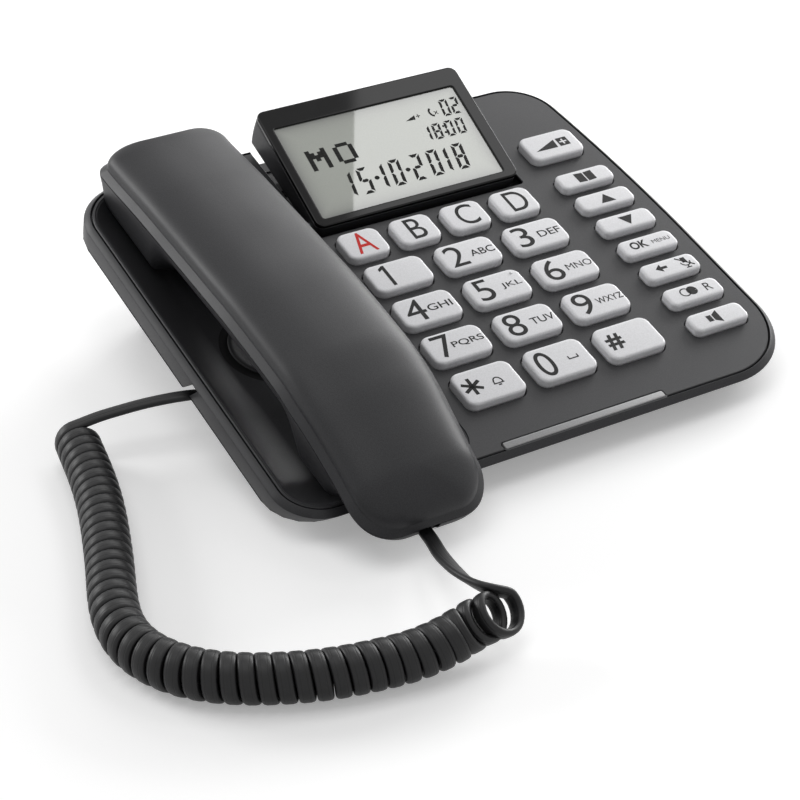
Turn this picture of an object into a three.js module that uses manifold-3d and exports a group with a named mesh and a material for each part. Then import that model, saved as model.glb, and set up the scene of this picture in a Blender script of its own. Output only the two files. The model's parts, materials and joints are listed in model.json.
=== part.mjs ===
// Corded desk telephone: a sloping base with a tilting display, twenty-four keys and a cradle,
// an arched two-shell handset that lies in the cradle, and a curly handset cord.
// Millimetres, +Z up, +Y away from the person who dials, origin on the table under the middle.
import * as THREE from 'three';
import { mergeVertices } from 'three/addons/utils/BufferGeometryUtils.js';
import Module from 'manifold-3d';

const wasm = await Module();
wasm.setup();

// Clearances shared by all pieces
const GAP = 0.3;
const SLIDE_GAP = 0.35;
const OVERRUN = 3;
const CURVE_STEPS = 5;

// Deck: the sloping top face, its frame is x across, v up the slope, w out of the face
const DECK_TILT = THREE.MathUtils.degToRad(12.92);
const DECK_HEIGHT = 30.47;
const BODY_WIDTH = 198.9;
const BODY_FRONT = -88.4;
const BODY_BACK = 84.2;
const FRONT_LEFT_RADIUS = 16;
const FRONT_RIGHT_RADIUS = 30;
const BACK_RIGHT_RADIUS = 20;
const BACK_LEFT_RADIUS = 22;
const RIGHT_SIDE_RADIUS = 820;
const RIGHT_SIDE_START = -20;
const SLAB_DEPTH = 9;
const FRONT_RAKE = 6;
const WALL = 2.2;
const CHAMFER = 2.2;
const CHAMFER_DROP = 1.8;

// Top cover
const COVER_THICKNESS = 2.2;
const COVER_GROOVE = 1;
const COVER_EDGE_ROUND = 0.4;
const COVER_LEDGE = 2.3;
const LEDGE_DROP = COVER_THICKNESS + GAP;
const LIGHT_BAR_LENGTH = 62.5;
const LIGHT_BAR_DEPTH = 2.8;
const LIGHT_BAR_HEIGHT = 2;
const LIGHT_BAR_PLACE_SHARE = 0.3024;
const LIGHT_BAR_PROUD = 0.25;

// Cradle: a concave trough on the left, its bowls take the two cups of the handset
const CRADLE_MARGIN = 4.1;
const CRADLE_HALF_FLOOR = 18.7;
const CRADLE_HALF_WIDTH = 32.5;
const CRADLE_X = CRADLE_MARGIN + CRADLE_HALF_WIDTH - BODY_WIDTH / 2;
const CRADLE_FRONT = -84.3;
const CRADLE_BACK = 80.1;
const CRADLE_FRONT_RADIUS = 12;
const CRADLE_BACK_RADIUS = 18;
const CRADLE_FLOOR_RADIUS = 10;
const CRADLE_FRONT_FLANK = 7;
const CRADLE_BACK_FLANK = 2.5;
const CRADLE_DEPTH = 7.5;
const CRADLE_WALL = 1.6;
const CRADLE_POCKET_WALL = 1.2;
const CRADLE_FLANK_POWER = 1.4;
const CRADLE_FLANK_SHARES = [0, 0.28, 0.55, 0.8, 1];
const CRADLE_DEPTH_SHARES = [[-0.5, 0.73], [-0.22, 0.73], [-0.1, 1], [0.5, 1]];
const PANEL_LEFT = CRADLE_X + CRADLE_HALF_WIDTH;
const PANEL_WIDTH = BODY_WIDTH / 2 - PANEL_LEFT;
const SPEAKER_V = -6;
const SPEAKER_RING_RADIUS = 18.7;
const SPEAKER_DISC_RADIUS = 15.8;
const SPEAKER_HOLE_RADIUS = 10;
const SPEAKER_RING_DROP = 0.8;
const SPEAKER_DISC_THICKNESS = 1.2;
const SPEAKER_SLOT_LENGTH = 4.2;
const SPEAKER_SLOT_WIDTH = 1.6;
const SPEAKER_SLOT_COUNT = 7;
const SPEAKER_SLOT_RING = 6.4;
const LOUDSPEAKER_RADIUS = 11;
const LOUDSPEAKER_DEPTH = 8;
const MAGNET_RADIUS = 6;
const MAGNET_DEPTH = 3.5;

// Handset, in the deck frame while it lies in the cradle
const HANDSET_HALF_WIDTH = 25;
const HANDSET_FRONT = -109.5;
const HANDSET_BACK = 84.5;
const HANDSET_FRONT_RADIUS = 12;
const HANDSET_BACK_RADIUS = 16;
const HANDSET_ARCH = 18.8;
const HANDSET_ARCH_SHARES = [
  [0, 0.415], [0.08, 0.61], [0.152, 0.766], [0.235, 0.93], [0.317, 1],
  [0.461, 0.963], [0.595, 0.85], [0.807, 0.64], [1, 0.447],
];
const HANDSET_CHAMFER = 2.2;
const HANDSET_CROWN = 8.6;
const HANDSET_CROWN_RUN = 12;
const HANDSET_WALL = 2;
const HANDLE_DEPTH = 15;
const CUP_FOOT_GAP = 0.5;
const CUP_RAMP = 5.4;
const TIP_DEPTH = 5.4;
const MOUTH_HEEL_DEPTH = 10.8;
const EAR_HEEL_DEPTH = 7.4;
const MOUTH_STEEPNESS_SHARE = 0.7;
const EAR_CUP_START = 34;
const EAR_CUP_FOOT_START = 41;
const EAR_CUP_FOOT_END = 76;
const EAR_CUP_END = 79.6;
const MOUTH_CUP_START = -86;
const MOUTH_CUP_FOOT_START = -77.5;
const MOUTH_CUP_FOOT_END = -65;
const MOUTH_CUP_END = -52;
const LOWER_LAYER_SHARES = [0, 0.35, 0.65, 0.86, 1];
const CUP_INSET_SHARES = [0, 0.012, 0.03, 0.1, 0.34];
const HANDLE_INSET_SHARES = [0, 0.08, 0.22, 0.42, 0.68];
const FRONT_END_INSET = 3.4;
const BACK_END_INSET = 7;
const END_INSET_SHARES = [0, 0.14, 0.38, 0.64, 1];
const DOME_ANGLE_SHARES = [0.22, 0.46, 0.7, 0.9];
const SIDE_STATION_SHARES = [
  0.05, 0.09, 0.13, 0.18, 0.22, 0.27, 0.34, 0.43, 0.52, 0.61, 0.7, 0.745, 0.79, 0.86, 0.93, 0.97,
];
const EARPIECE_V = 62;
const EARPIECE_RADIUS = 11;
const EARPIECE_DEPTH = 8;
const EARPIECE_GRILLE_RADIUS = 12;
const EARPIECE_GRILLE_THICKNESS = 1.2;
const MICROPHONE_V = -71;
const MICROPHONE_RADIUS = 4.2;
const MICROPHONE_DEPTH = 5;
const SOUND_HOLE_RADIUS = 1;
const SOUND_HOLE_RING = 5.5;
const SOUND_HOLE_COUNT = 6;
const HANDSET_WEIGHT_LENGTH = 46;
const HANDSET_WEIGHT_WIDTH = 22;
const HANDSET_WEIGHT_DEPTH = 4;
const HANDSET_WEIGHT_V = -20;

// Modular plugs and jacks, the same pair at both ends of the handset cord
const PLUG_WIDTH = 7.6;
const PLUG_HEIGHT = 4.4;
const PLUG_LENGTH = 11;
const PLUG_TAB_WIDTH = 3.2;
const PLUG_TAB_HEIGHT = 0.9;
const PLUG_TAB_LENGTH = 8;
const PLUG_TAB_SINK = 0.5;
const JACK_WALL = 1.3;
const JACK_LENGTH = 9.7;
const HANDSET_PLUG_OFFSET = 1.65;
const HANDSET_PLUG_X = CRADLE_X - HANDSET_PLUG_OFFSET;
const HANDSET_PLUG_DROP = 3.6;
const HANDSET_PLUG_RECESS = 0.6;
const BASE_PLUG_V = -14;
const BASE_PLUG_DROP = 13.3;
const PLUG_OUT = 3;
const CORD_NOTCH_WIDTH = 5;
const CORD_NOTCH_TOP = 2.1;
const LINE_JACK_X = 30;
const LINE_JACK_HEIGHT = 16;
const JACK_CLEARANCE = 0.3;

// Hook plunger and its switch
const HOOK_V = 46;
const HOOK_WIDTH = 7;
const HOOK_LENGTH = 5;
const HOOK_TRAVEL = 3;
const HOOK_FLANGE = 1.2;
const HOOK_FLANGE_HEIGHT = 1;
const HOOK_SWITCH_WIDTH = 13;
const HOOK_SWITCH_LENGTH = 7;
const HOOK_SWITCH_HEIGHT = 6.5;
const HOOK_BRACKET = 1.8;

// Keys
const KEY_HEIGHT = 2.6;
const KEY_TRAVEL = 1.4;
const KEY_BEVEL = 0.9;
const KEY_BEVEL_DROP = 0.7;
const KEY_CORNER = 3.4;
const KEY_CORNER_STEPS = 2;
const KEY_FLANGE = 0.9;
const KEY_FLANGE_HEIGHT = 0.8;
const NUMBER_SIDE_GAP = 5.5;
const NUMBER_ROW_GAP = 5.3;
const NUMBER_FRONT_MARGIN = 30.5;
const NUMBER_ROW_STEPS = 3;
const NUMBER_ROW_PITCH = (-BODY_FRONT - NUMBER_FRONT_MARGIN) / NUMBER_ROW_STEPS;
const NUMBER_DEPTH = NUMBER_ROW_PITCH - NUMBER_ROW_GAP;
const LAST_ROW_EXTRA = 1.7;
const LAST_ROW_DEPTH = NUMBER_DEPTH + LAST_ROW_EXTRA;
const NUMBER_PLACE_SHARE = 0.13482;
const NUMBER_PITCH_SHARE = 0.21572;
const NUMBER_X = PANEL_LEFT + PANEL_WIDTH * NUMBER_PLACE_SHARE;
const NUMBER_COLUMN_PITCH = PANEL_WIDTH * NUMBER_PITCH_SHARE;
const NUMBER_WIDTH = NUMBER_COLUMN_PITCH - NUMBER_SIDE_GAP;
const MEMORY_SIDE_GAP = 4.65;
const MEMORY_DEPTH = 14.1;
const MEMORY_PLACE_SHARE = 0.10855;
const MEMORY_PITCH_SHARE = 0.15986;
const MEMORY_X = PANEL_LEFT + PANEL_WIDTH * MEMORY_PLACE_SHARE;
const MEMORY_PITCH = PANEL_WIDTH * MEMORY_PITCH_SHARE;
const MEMORY_WIDTH = MEMORY_PITCH - MEMORY_SIDE_GAP;
const MEMORY_V = 18.81;
const FUNCTION_WIDTH = NUMBER_WIDTH;
const FUNCTION_PLACE_SHARE = 0.83698;
const FUNCTION_X = PANEL_LEFT + PANEL_WIDTH * FUNCTION_PLACE_SHARE;
const FUNCTION_V = 21.63;
const FUNCTION_FRONT_MARGIN = 26.81;
const FUNCTION_STEPS = 6;
const FUNCTION_PITCH_GROWTH = 0.07;
const FUNCTION_RUN = FUNCTION_V - BODY_FRONT - FUNCTION_FRONT_MARGIN;
const FUNCTION_PITCH = FUNCTION_RUN / FUNCTION_STEPS - FUNCTION_PITCH_GROWTH * FUNCTION_STEPS;
const FUNCTION_ROW_GAP = 4.75;
const FUNCTION_DEPTH = FUNCTION_PITCH - FUNCTION_ROW_GAP;
const FUNCTION_CORNER = 2.6;
const VOLUME_WIDTH = NUMBER_WIDTH;
const VOLUME_DEPTH = 14.2;
const VOLUME_PLACE_SHARE = 0.83012;
const VOLUME_X = PANEL_LEFT + PANEL_WIDTH * VOLUME_PLACE_SHARE;
const VOLUME_V = 42.8;
const MAT_THICKNESS = 1;
const MAT_MARGIN = 1.5;
const BOARD_THICKNESS = 1.6;
const BOARD_MARGIN = 5;

// Display pod, in its own frame: a up the face from its lower edge, b out of the face
const POD_TILT = THREE.MathUtils.degToRad(15.53);
const POD_PLACE_SHARE = 0.347;
const POD_WIDTH_SHARE = 0.64145;
const POD_X = PANEL_LEFT + PANEL_WIDTH * POD_PLACE_SHARE;
const POD_WIDTH = PANEL_WIDTH * POD_WIDTH_SHARE;
const POD_V = 31.73;
const POD_LENGTH = 52.88;
const POD_DEPTH = 9.5;
const POD_BACK_DEPTH = 5;
const POD_LIP_RADIUS = 3.6;
const POD_DEEP_LENGTH = 15;
const POD_CORNER = 3.2;
const POD_WALL = 1.8;
const POD_PIVOT_A = 5;
const POD_PIVOT_B = 6;
const LENS_THICKNESS = 1.5;
const LCD_LEFT = 3.42;
const LCD_RIGHT_MARGIN = 4.97;
const LCD_RIGHT = POD_WIDTH - LCD_RIGHT_MARGIN;
const LCD_LOW = 3.02;
const LCD_HIGH = 44.41;
const LCD_BORDER = 1.5;
const LCD_THICKNESS = 1.4;
const DISPLAY_BOARD_THICKNESS = 1;
const DISPLAY_BOARD_MARGIN = 2;
const DISPLAY_BOARD_LENGTH = 33;
const PIN_RADIUS = 1.6;
const PIN_LENGTH = 3.4;
const PIN_SEAT = 1.6;
const PIN_STEPS = 16;
const PIN_BOSS_RADIUS = 3.4;
const PIN_BOSS_LENGTH = 3.2;
const POD_SIDE_GAP = 0.7;
const RECESS_FRONT = 29.5;
const RECESS_FLOOR = 8;
const RECESS_FLAT = 15;
const RECESS_BACK = 79;
const RECESS_BACK_FLOOR = 0.6;
const RECESS_WALL = 1.6;

// Underside of the base
const FOOT_HEIGHT = 2;
const FOOT_RADIUS = 7;
const FOOT_SEAT = 1;
const FOOT_MARGIN = 13;
const FOOT_STEPS = 24;
const WEDGE_LEFT_REACH = 21.15;
const WEDGE_RIGHT_MARGIN = 16.45;
const WEDGE_FRONT_MARGIN = 18.4;
const WEDGE_BACK_MARGIN = 16.2;
const WEDGE_LEFT = CRADLE_X - WEDGE_LEFT_REACH;
const WEDGE_RIGHT = BODY_WIDTH / 2 - WEDGE_RIGHT_MARGIN;
const WEDGE_FRONT = BODY_FRONT + WEDGE_FRONT_MARGIN;
const WEDGE_BACK = BODY_BACK - WEDGE_BACK_MARGIN;
const WEDGE_CORNER = 14;
const FLOOR_WALL = 2;
const BALLAST_LENGTH = 70;
const BALLAST_WIDTH = 34;
const BALLAST_HEIGHT = 6;
const BALLAST_X = 25;
const BALLAST_Y = 30;

// Handset cord
const CORD_DIAMETER = 3.4;
const CORD_GAP = 0.4;
const LEAD_SIDES = 8;
const COIL_DIAMETER = 14.7;
const COIL_TURNS = 44;
const COIL_STEPS = 8;
const COIL_SIDES = 5;
const COIL_RAMP_TURNS = 1.25;
const COIL_LIFT = 0.1;
const CORD_SAMPLE_SHARE = 0.25;
const LEAD_STEP_DIAMETERS = 1.2;

// Route of the free cord on the table: chosen points, x y z
const BASE_LEAD_POINTS = [
  [-101.5, 1.7, 15.9], [-106.5, 2.9, 15.8], [-112.5, 5.4, 15.2], [-118.5, 8.2, 14.2],
  [-124, 10.9, 12.8], [-128.6, 12.4, 11], [-132, 11.6, 9],
];
const COIL_POINTS = [
  [-134.2, 7.2], [-135.6, 2.2], [-139.4, -14.2], [-143.6, -30.5], [-148.7, -45.5], [-153.8, -59.7],
  [-158.4, -71], [-162.2, -82], [-163.9, -92.6], [-162.5, -102.6], [-158.4, -111.6],
  [-152.4, -119], [-144.8, -125], [-137.4, -129.4], [-129.8, -133], [-122.6, -135.8],
  [-115.2, -137.9], [-104.4, -140.1], [-93.4, -140.6], [-85.7, -139.8], [-80.4, -138.2],
];
const HANDSET_LEAD_POINTS = [
  [-64.3, -99.6, 8.6], [-64.1, -103.6, 5.4], [-63.7, -108.4, 2.9], [-63.2, -114, 2.5],
  [-62.7, -120, 3.6], [-62.1, -125.6, 5.8], [-61.2, -130.6, 7.4], [-60.8, -135, 6.6],
  [-63, -138.6, 4.6], [-67.4, -139.4, 4.6], [-71.6, -137.9, 6],
];

// Looks of the model
const DARK_PLASTIC = { color: 0x4a4a4c, roughness: 0.55, metalness: 0 };
const UNDER_PLASTIC = { color: 0x2c2c2e, roughness: 0.6, metalness: 0 };
const KEY_SILVER = { color: 0xd8d8da, roughness: 0.35, metalness: 0.1 };
const GLOSS_BLACK = { color: 0x18181a, roughness: 0.1, metalness: 0 };
const LCD_GREY = { color: 0xb4b7ad, roughness: 0.3, metalness: 0 };
const CLEAR_GREY = { color: 0x8d8d8d, roughness: 0.3, metalness: 0 };
const BLACK_RUBBER = { color: 0x1d1d1f, roughness: 0.8, metalness: 0 };
const BOARD_GREEN = { color: 0x1f5a37, roughness: 0.5, metalness: 0 };
const STEEL = { color: 0x9a9c9f, roughness: 0.35, metalness: 0.9 };
const CLEAR_PLASTIC = { color: 0xbfc4c8, roughness: 0.2, metalness: 0 };
const CORD_BLACK = { color: 0x262628, roughness: 0.35, metalness: 0 };

// Whole model is centred on the table between the handset's tip and the rim's lowest back edge
const deckY = (() => {
  const c = Math.cos(DECK_TILT);
  const s = Math.sin(DECK_TILT);
  const tip = HANDSET_FRONT * c - HANDSET_ARCH * HANDSET_ARCH_SHARES[0][1] * s;
  const rim = BODY_BACK * c + SLAB_DEPTH * s;
  return -(tip + rim) / 2;
})();
const deckMatrix = new THREE.Matrix4()
  .makeRotationX(DECK_TILT)
  .setPosition(0, deckY, DECK_HEIGHT);
const tableToDeck = deckMatrix.clone().invert();

// Value of a table of [place, value] rows at x, eased between its rows without overshoot
function along(table, x) {
  if (x <= table[0][0]) return table[0][1];
  const last = table[table.length - 1];
  if (x >= last[0]) return last[1];
  const i = table.findIndex((row) => row[0] > x) - 1;
  const slope = (k) => {
    if (k <= 0 || k >= table.length - 1) return 0;
    const before = (table[k][1] - table[k - 1][1]) / (table[k][0] - table[k - 1][0]);
    const after = (table[k + 1][1] - table[k][1]) / (table[k + 1][0] - table[k][0]);
    return before * after > 0 ? 2 * before * after / (before + after) : 0;
  };
  const span = table[i + 1][0] - table[i][0];
  const t = (x - table[i][0]) / span;
  const t2 = t * t;
  const t3 = t2 * t;
  return (2 * t3 - 3 * t2 + 1) * table[i][1] + (t3 - 2 * t2 + t) * span * slope(i)
    + (3 * t2 - 2 * t3) * table[i + 1][1] + (t3 - t2) * span * slope(i + 1);
}

// Closed geometry with merged corners, faces out and no flat triangles
function closed(positions, triangles) {
  const raw = new THREE.BufferGeometry();
  raw.setAttribute('position', new THREE.Float32BufferAttribute(positions, 3));
  raw.setIndex(triangles);
  return tidied(raw);
}

function tidied(geometry) {
  const bare = geometry.clone();
  for (const name of Object.keys(bare.attributes)) {
    if (name !== 'position') bare.deleteAttribute(name);
  }
  const merged = mergeVertices(bare, 1e-4);
  const index = merged.index.array;
  const p = merged.attributes.position;
  const kept = [];
  let volume = 0;
  const a = new THREE.Vector3();
  const b = new THREE.Vector3();
  const c = new THREE.Vector3();
  for (let i = 0; i < index.length; i += 3) {
    const [i0, i1, i2] = [index[i], index[i + 1], index[i + 2]];
    if (i0 === i1 || i1 === i2 || i0 === i2) continue;
    kept.push(i0, i1, i2);
    a.fromBufferAttribute(p, i0);
    b.fromBufferAttribute(p, i1);
    c.fromBufferAttribute(p, i2);
    volume += a.dot(b.cross(c));
  }
  if (volume < 0) kept.reverse();
  merged.setIndex(kept);
  return merged;
}

function solid(geometry) {
  const g = tidied(geometry);
  return new wasm.Manifold(new wasm.Mesh({
    numProp: 3,
    vertProperties: new Float32Array(g.attributes.position.array),
    triVerts: new Uint32Array(g.index.array),
  }));
}

function fromSolid(manifold) {
  const mesh = manifold.getMesh();
  return closed(Array.from(mesh.vertProperties), Array.from(mesh.triVerts));
}

const joined = (geometries) => geometries.map(solid).reduce((sum, next) => sum.add(next));

// A body made by joining some shapes and cutting others away
function carved(adds, cuts) {
  const body = joined(adds);
  return fromSolid(cuts.length > 0 ? body.subtract(joined(cuts)) : body);
}

// Skin between rings of equal count, closed with flat ends or with a ladder across each end
function loft(rings, ladder = false) {
  const count = rings[0].length;
  const positions = rings.flat(2);
  const triangles = [];
  for (let k = 0; k < rings.length - 1; k += 1) {
    for (let i = 0; i < count; i += 1) {
      const j = (i + 1) % count;
      const low = k * count;
      const high = low + count;
      triangles.push(low + i, low + j, high + j, low + i, high + j, high + i);
    }
  }
  const flatEnd = (ring) => THREE.ShapeUtils.triangulateShape(
    ring.map(([x, y]) => new THREE.Vector2(x, y)),
    [],
  );
  const ladderEnd = () => {
    const steps = [];
    for (let i = 0; i < count / 2 - 1; i += 1) {
      const far = count - 1 - i;
      steps.push([i, i + 1, far - 1], [i, far - 1, far]);
    }
    return steps;
  };
  const top = (rings.length - 1) * count;
  const ends = ladder ? [ladderEnd(), ladderEnd()] : [flatEnd(rings[0]), flatEnd(rings.at(-1))];
  for (const [a, b, c] of ends[0]) triangles.push(a, c, b);
  for (const [a, b, c] of ends[1]) triangles.push(top + a, top + b, top + c);
  return closed(positions, triangles);
}

// Points of an arc in the plane
function arc(cx, cy, radius, from, to, steps) {
  const points = [];
  for (let i = 0; i <= steps; i += 1) {
    const angle = from + (to - from) * i / steps;
    points.push([cx + radius * Math.cos(angle), cy + radius * Math.sin(angle)]);
  }
  return points;
}

const atHeight = (points, z) => points.map(([x, y]) => [x, y, z]);

// Rectangle with round corners, counter-clockwise
function roundRect(width, depth, radius, steps, cx = 0, cy = 0) {
  const hx = width / 2 - radius;
  const hy = depth / 2 - radius;
  const quarter = Math.PI / 2;
  const corner = (sx, sy, from) => arc(cx + sx * hx, cy + sy * hy, radius, from, from + quarter, steps);
  return [
    ...corner(1, 1, 0),
    ...corner(-1, 1, quarter),
    ...corner(-1, -1, 2 * quarter),
    ...corner(1, -1, 3 * quarter),
  ];
}

const prism = (points, low, high) => loft([atHeight(points, low), atHeight(points, high)]);

function block(x0, x1, y0, y1, z0, z1) {
  const box = new THREE.BoxGeometry(x1 - x0, y1 - y0, z1 - z0);
  box.translate((x0 + x1) / 2, (y0 + y1) / 2, (z0 + z1) / 2);
  return box;
}

// Turned shape about Z from a profile of [radius, height]
function turned(profile, steps, x = 0, y = 0, z = 0) {
  const points = profile.map(([r, h]) => new THREE.Vector2(r, h));
  const lathe = new THREE.LatheGeometry(points, steps);
  lathe.rotateX(Math.PI / 2);
  lathe.translate(x, y, z);
  return lathe;
}

const drum = (radius, low, high, steps, x = 0, y = 0) => turned(
  [[0, low], [radius, low], [radius, high], [0, high]],
  steps,
  x,
  y,
);

function named(name, geometry, look) {
  const shape = tidied(geometry);
  shape.computeVertexNormals();
  const mesh = new THREE.Mesh(shape, new THREE.MeshStandardMaterial(look));
  mesh.name = name;
  return mesh;
}

// Outline of the base seen down on the deck: five tangent arcs, drawn in by an inset
function bodyOutline(inset) {
  const half = BODY_WIDTH / 2;
  const quarter = Math.PI / 2;
  const bow = RIGHT_SIDE_RADIUS - BACK_RIGHT_RADIUS;
  const turn = Math.asin((BODY_BACK - RIGHT_SIDE_START - BACK_RIGHT_RADIUS) / bow);
  const bowX = half - RIGHT_SIDE_RADIUS;
  const backX = bowX + bow * Math.cos(turn);
  const backV = RIGHT_SIDE_START + bow * Math.sin(turn);
  const corner = (cx, cv, radius, from, to) => arc(cx, cv, radius - inset, from, to, CURVE_STEPS);
  return [
    ...corner(-half + FRONT_LEFT_RADIUS, BODY_FRONT + FRONT_LEFT_RADIUS, FRONT_LEFT_RADIUS,
      -2 * quarter, -quarter),
    ...corner(half - FRONT_RIGHT_RADIUS, BODY_FRONT + FRONT_RIGHT_RADIUS, FRONT_RIGHT_RADIUS,
      -quarter, 0),
    ...corner(bowX, RIGHT_SIDE_START, RIGHT_SIDE_RADIUS, 0, turn),
    ...corner(backX, backV, BACK_RIGHT_RADIUS, turn, quarter).slice(1),
    ...corner(-half + BACK_LEFT_RADIUS, BODY_BACK - BACK_LEFT_RADIUS, BACK_LEFT_RADIUS,
      quarter, 2 * quarter),
  ];
}

// Ring of the base wall at depth w: the front leans back as it goes down
function wallRing(inset, w) {
  const rake = FRONT_RAKE * Math.max(0, -w - CHAMFER_DROP) / (SLAB_DEPTH - CHAMFER_DROP);
  const length = BODY_BACK - BODY_FRONT;
  return bodyOutline(inset).map(([x, v]) => [x, BODY_BACK - (BODY_BACK - v) * (1 - rake / length), w]);
}

// One side of a long body, front to back: a round front corner, stations, a round back corner
function sideChain(half, front, back, frontRadius, backRadius) {
  const quarter = Math.PI / 2;
  const frontV = front + frontRadius;
  const backV = back - backRadius;
  const stations = SIDE_STATION_SHARES.map((share) => [-half, frontV + (backV - frontV) * share]);
  return [
    ...arc(-half + frontRadius, frontV, frontRadius, -quarter, -2 * quarter, CURVE_STEPS),
    ...stations,
    ...arc(-half + backRadius, backV, backRadius, 2 * quarter, quarter, CURVE_STEPS),
  ];
}

const mirroredRing = (chain, cx) => [
  ...chain.map(([x, v, w]) => [cx + x, v, w]),
  ...chain.map(([x, v, w]) => [cx - x, v, w]).reverse(),
];

// Depth of the cradle floor at v
function cradleDepth(v) {
  const length = CRADLE_BACK - CRADLE_FRONT;
  const middle = (CRADLE_BACK + CRADLE_FRONT) / 2;
  return CRADLE_DEPTH * along(CRADLE_DEPTH_SHARES, (v - middle) / length);
}

// The trough's hollow; grown by a wall it is the trough's outside
function cradle(grow, top) {
  const flank = CRADLE_HALF_WIDTH - CRADLE_HALF_FLOOR;
  const rings = CRADLE_FLANK_SHARES.map((share) => {
    const half = CRADLE_HALF_FLOOR + flank * share + grow;
    const front = CRADLE_FRONT + CRADLE_FRONT_FLANK * (1 - share) - grow;
    const back = CRADLE_BACK - CRADLE_BACK_FLANK * (1 - share) + grow;
    const radius = (rim) => CRADLE_FLOOR_RADIUS + (rim - CRADLE_FLOOR_RADIUS) * share + grow;
    const chain = sideChain(half, front, back, radius(CRADLE_FRONT_RADIUS), radius(CRADLE_BACK_RADIUS));
    const rise = share ** CRADLE_FLANK_POWER;
    return mirroredRing(chain.map(([x, v]) => [x, v, -cradleDepth(v) * (1 - rise) - grow]), CRADLE_X);
  });
  rings.push(rings.at(-1).map(([x, v]) => [x, v, top]));
  return loft(rings, true);
}

// Height of the parting line of the handset at v
function arch(v) {
  return HANDSET_ARCH * along(HANDSET_ARCH_SHARES, (v - HANDSET_FRONT) / (HANDSET_BACK - HANDSET_FRONT));
}

// Lowest line of the handset at v: two cups in the bowls, the handle and both tips above them
function underside(v) {
  const foot = (at) => -cradleDepth(at) + CUP_FOOT_GAP;
  const handle = (at) => arch(at) - HANDLE_DEPTH;
  const tip = (at) => arch(at) - TIP_DEPTH;
  return along([
    [HANDSET_FRONT, tip(HANDSET_FRONT)],
    [MOUTH_CUP_START - CUP_RAMP, arch(MOUTH_CUP_START) - MOUTH_HEEL_DEPTH],
    [MOUTH_CUP_START, arch(MOUTH_CUP_START) - MOUTH_HEEL_DEPTH],
    [MOUTH_CUP_FOOT_START, foot(MOUTH_CUP_FOOT_START)],
    [MOUTH_CUP_FOOT_END, foot(MOUTH_CUP_FOOT_END)],
    [MOUTH_CUP_END, handle(MOUTH_CUP_END)],
    [0, handle(0)],
    [EAR_CUP_START, handle(EAR_CUP_START)],
    [EAR_CUP_FOOT_START, foot(EAR_CUP_FOOT_START)],
    [EAR_CUP_FOOT_END, foot(EAR_CUP_FOOT_END)],
    [EAR_CUP_END, arch(EAR_CUP_END) - EAR_HEEL_DEPTH],
    [HANDSET_BACK, tip(HANDSET_BACK)],
  ], v);
}

// How far the section at v is a steep cup (1) or a rounded handle (0)
function cupness(v) {
  return along([
    [MOUTH_CUP_START - CUP_RAMP, 0], [MOUTH_CUP_FOOT_START, MOUTH_STEEPNESS_SHARE],
    [MOUTH_CUP_FOOT_END, MOUTH_STEEPNESS_SHARE], [MOUTH_CUP_END, 0],
    [EAR_CUP_START - CUP_RAMP, 0], [EAR_CUP_FOOT_START, 1], [HANDSET_BACK, 1],
  ], v);
}

// Solid below the handset's parting line, drawn in by a wall for the hollow inside
function handsetLower(wall, top) {
  const half = HANDSET_HALF_WIDTH - wall;
  const front = HANDSET_FRONT + wall;
  const back = HANDSET_BACK - wall;
  const length = back - front;
  const outline = sideChain(half, front, back, HANDSET_FRONT_RADIUS - wall, HANDSET_BACK_RADIUS - wall);
  const rings = LOWER_LAYER_SHARES.map((depth, k) => {
    const shrink = (FRONT_END_INSET + BACK_END_INSET) * END_INSET_SHARES[k] / length;
    const start = front + FRONT_END_INSET * END_INSET_SHARES[k];
    const chain = outline.map(([x, v0]) => {
      const v = start + (v0 - front) * (1 - shrink);
      const cup = cupness(v);
      const inset = CUP_INSET_SHARES[k] * cup + HANDLE_INSET_SHARES[k] * (1 - cup);
      const high = arch(v);
      const low = underside(v) + wall;
      return [x * (1 - inset), v, high + (low - high) * depth];
    });
    return mirroredRing(chain, CRADLE_X);
  }).reverse();
  rings.push(mirroredRing(outline.map(([x, v]) => [x, v, arch(v) + top]), CRADLE_X));
  return loft(rings, true);
}

// Solid above the parting line: a bright chamfer, then a shallow dome
function handsetUpper(wall, bottom) {
  const half = HANDSET_HALF_WIDTH - wall;
  const front = HANDSET_FRONT + wall;
  const back = HANDSET_BACK - wall;
  const length = back - front;
  const outline = sideChain(half, front, back, HANDSET_FRONT_RADIUS - wall, HANDSET_BACK_RADIUS - wall);
  const layer = (sideShare, endInset, height) => {
    const shrink = 2 * endInset / length;
    return mirroredRing(outline.map(([x, v0]) => {
      const v = front + endInset + (v0 - front) * (1 - shrink);
      return [x * sideShare, v, arch(v) + height];
    }), CRADLE_X);
  };
  const domeHalf = (half - HANDSET_CHAMFER) / half;
  const dome = DOME_ANGLE_SHARES.map((share) => {
    const angle = share * Math.PI / 2;
    const end = HANDSET_CHAMFER / 2 + HANDSET_CROWN_RUN * (1 - Math.cos(angle));
    const height = HANDSET_CHAMFER + (HANDSET_CROWN - wall) * Math.sin(angle);
    return layer(domeHalf * Math.cos(angle), end, height);
  });
  return loft([
    layer(1, 0, bottom),
    layer(domeHalf, HANDSET_CHAMFER / 2, HANDSET_CHAMFER),
    ...dome,
  ], true);
}

// A plug and the jack that takes it, both along +Y with the cord at the low Y end
function plugShape() {
  const body = block(-PLUG_WIDTH / 2, PLUG_WIDTH / 2, 0, PLUG_LENGTH, -PLUG_HEIGHT / 2, PLUG_HEIGHT / 2);
  const tabLow = PLUG_HEIGHT / 2 - PLUG_TAB_SINK;
  const tab = block(-PLUG_TAB_WIDTH / 2, PLUG_TAB_WIDTH / 2, PLUG_LENGTH - PLUG_TAB_LENGTH, PLUG_LENGTH,
    tabLow, PLUG_HEIGHT / 2 + PLUG_TAB_HEIGHT);
  return carved([body, tab], []);
}

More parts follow.
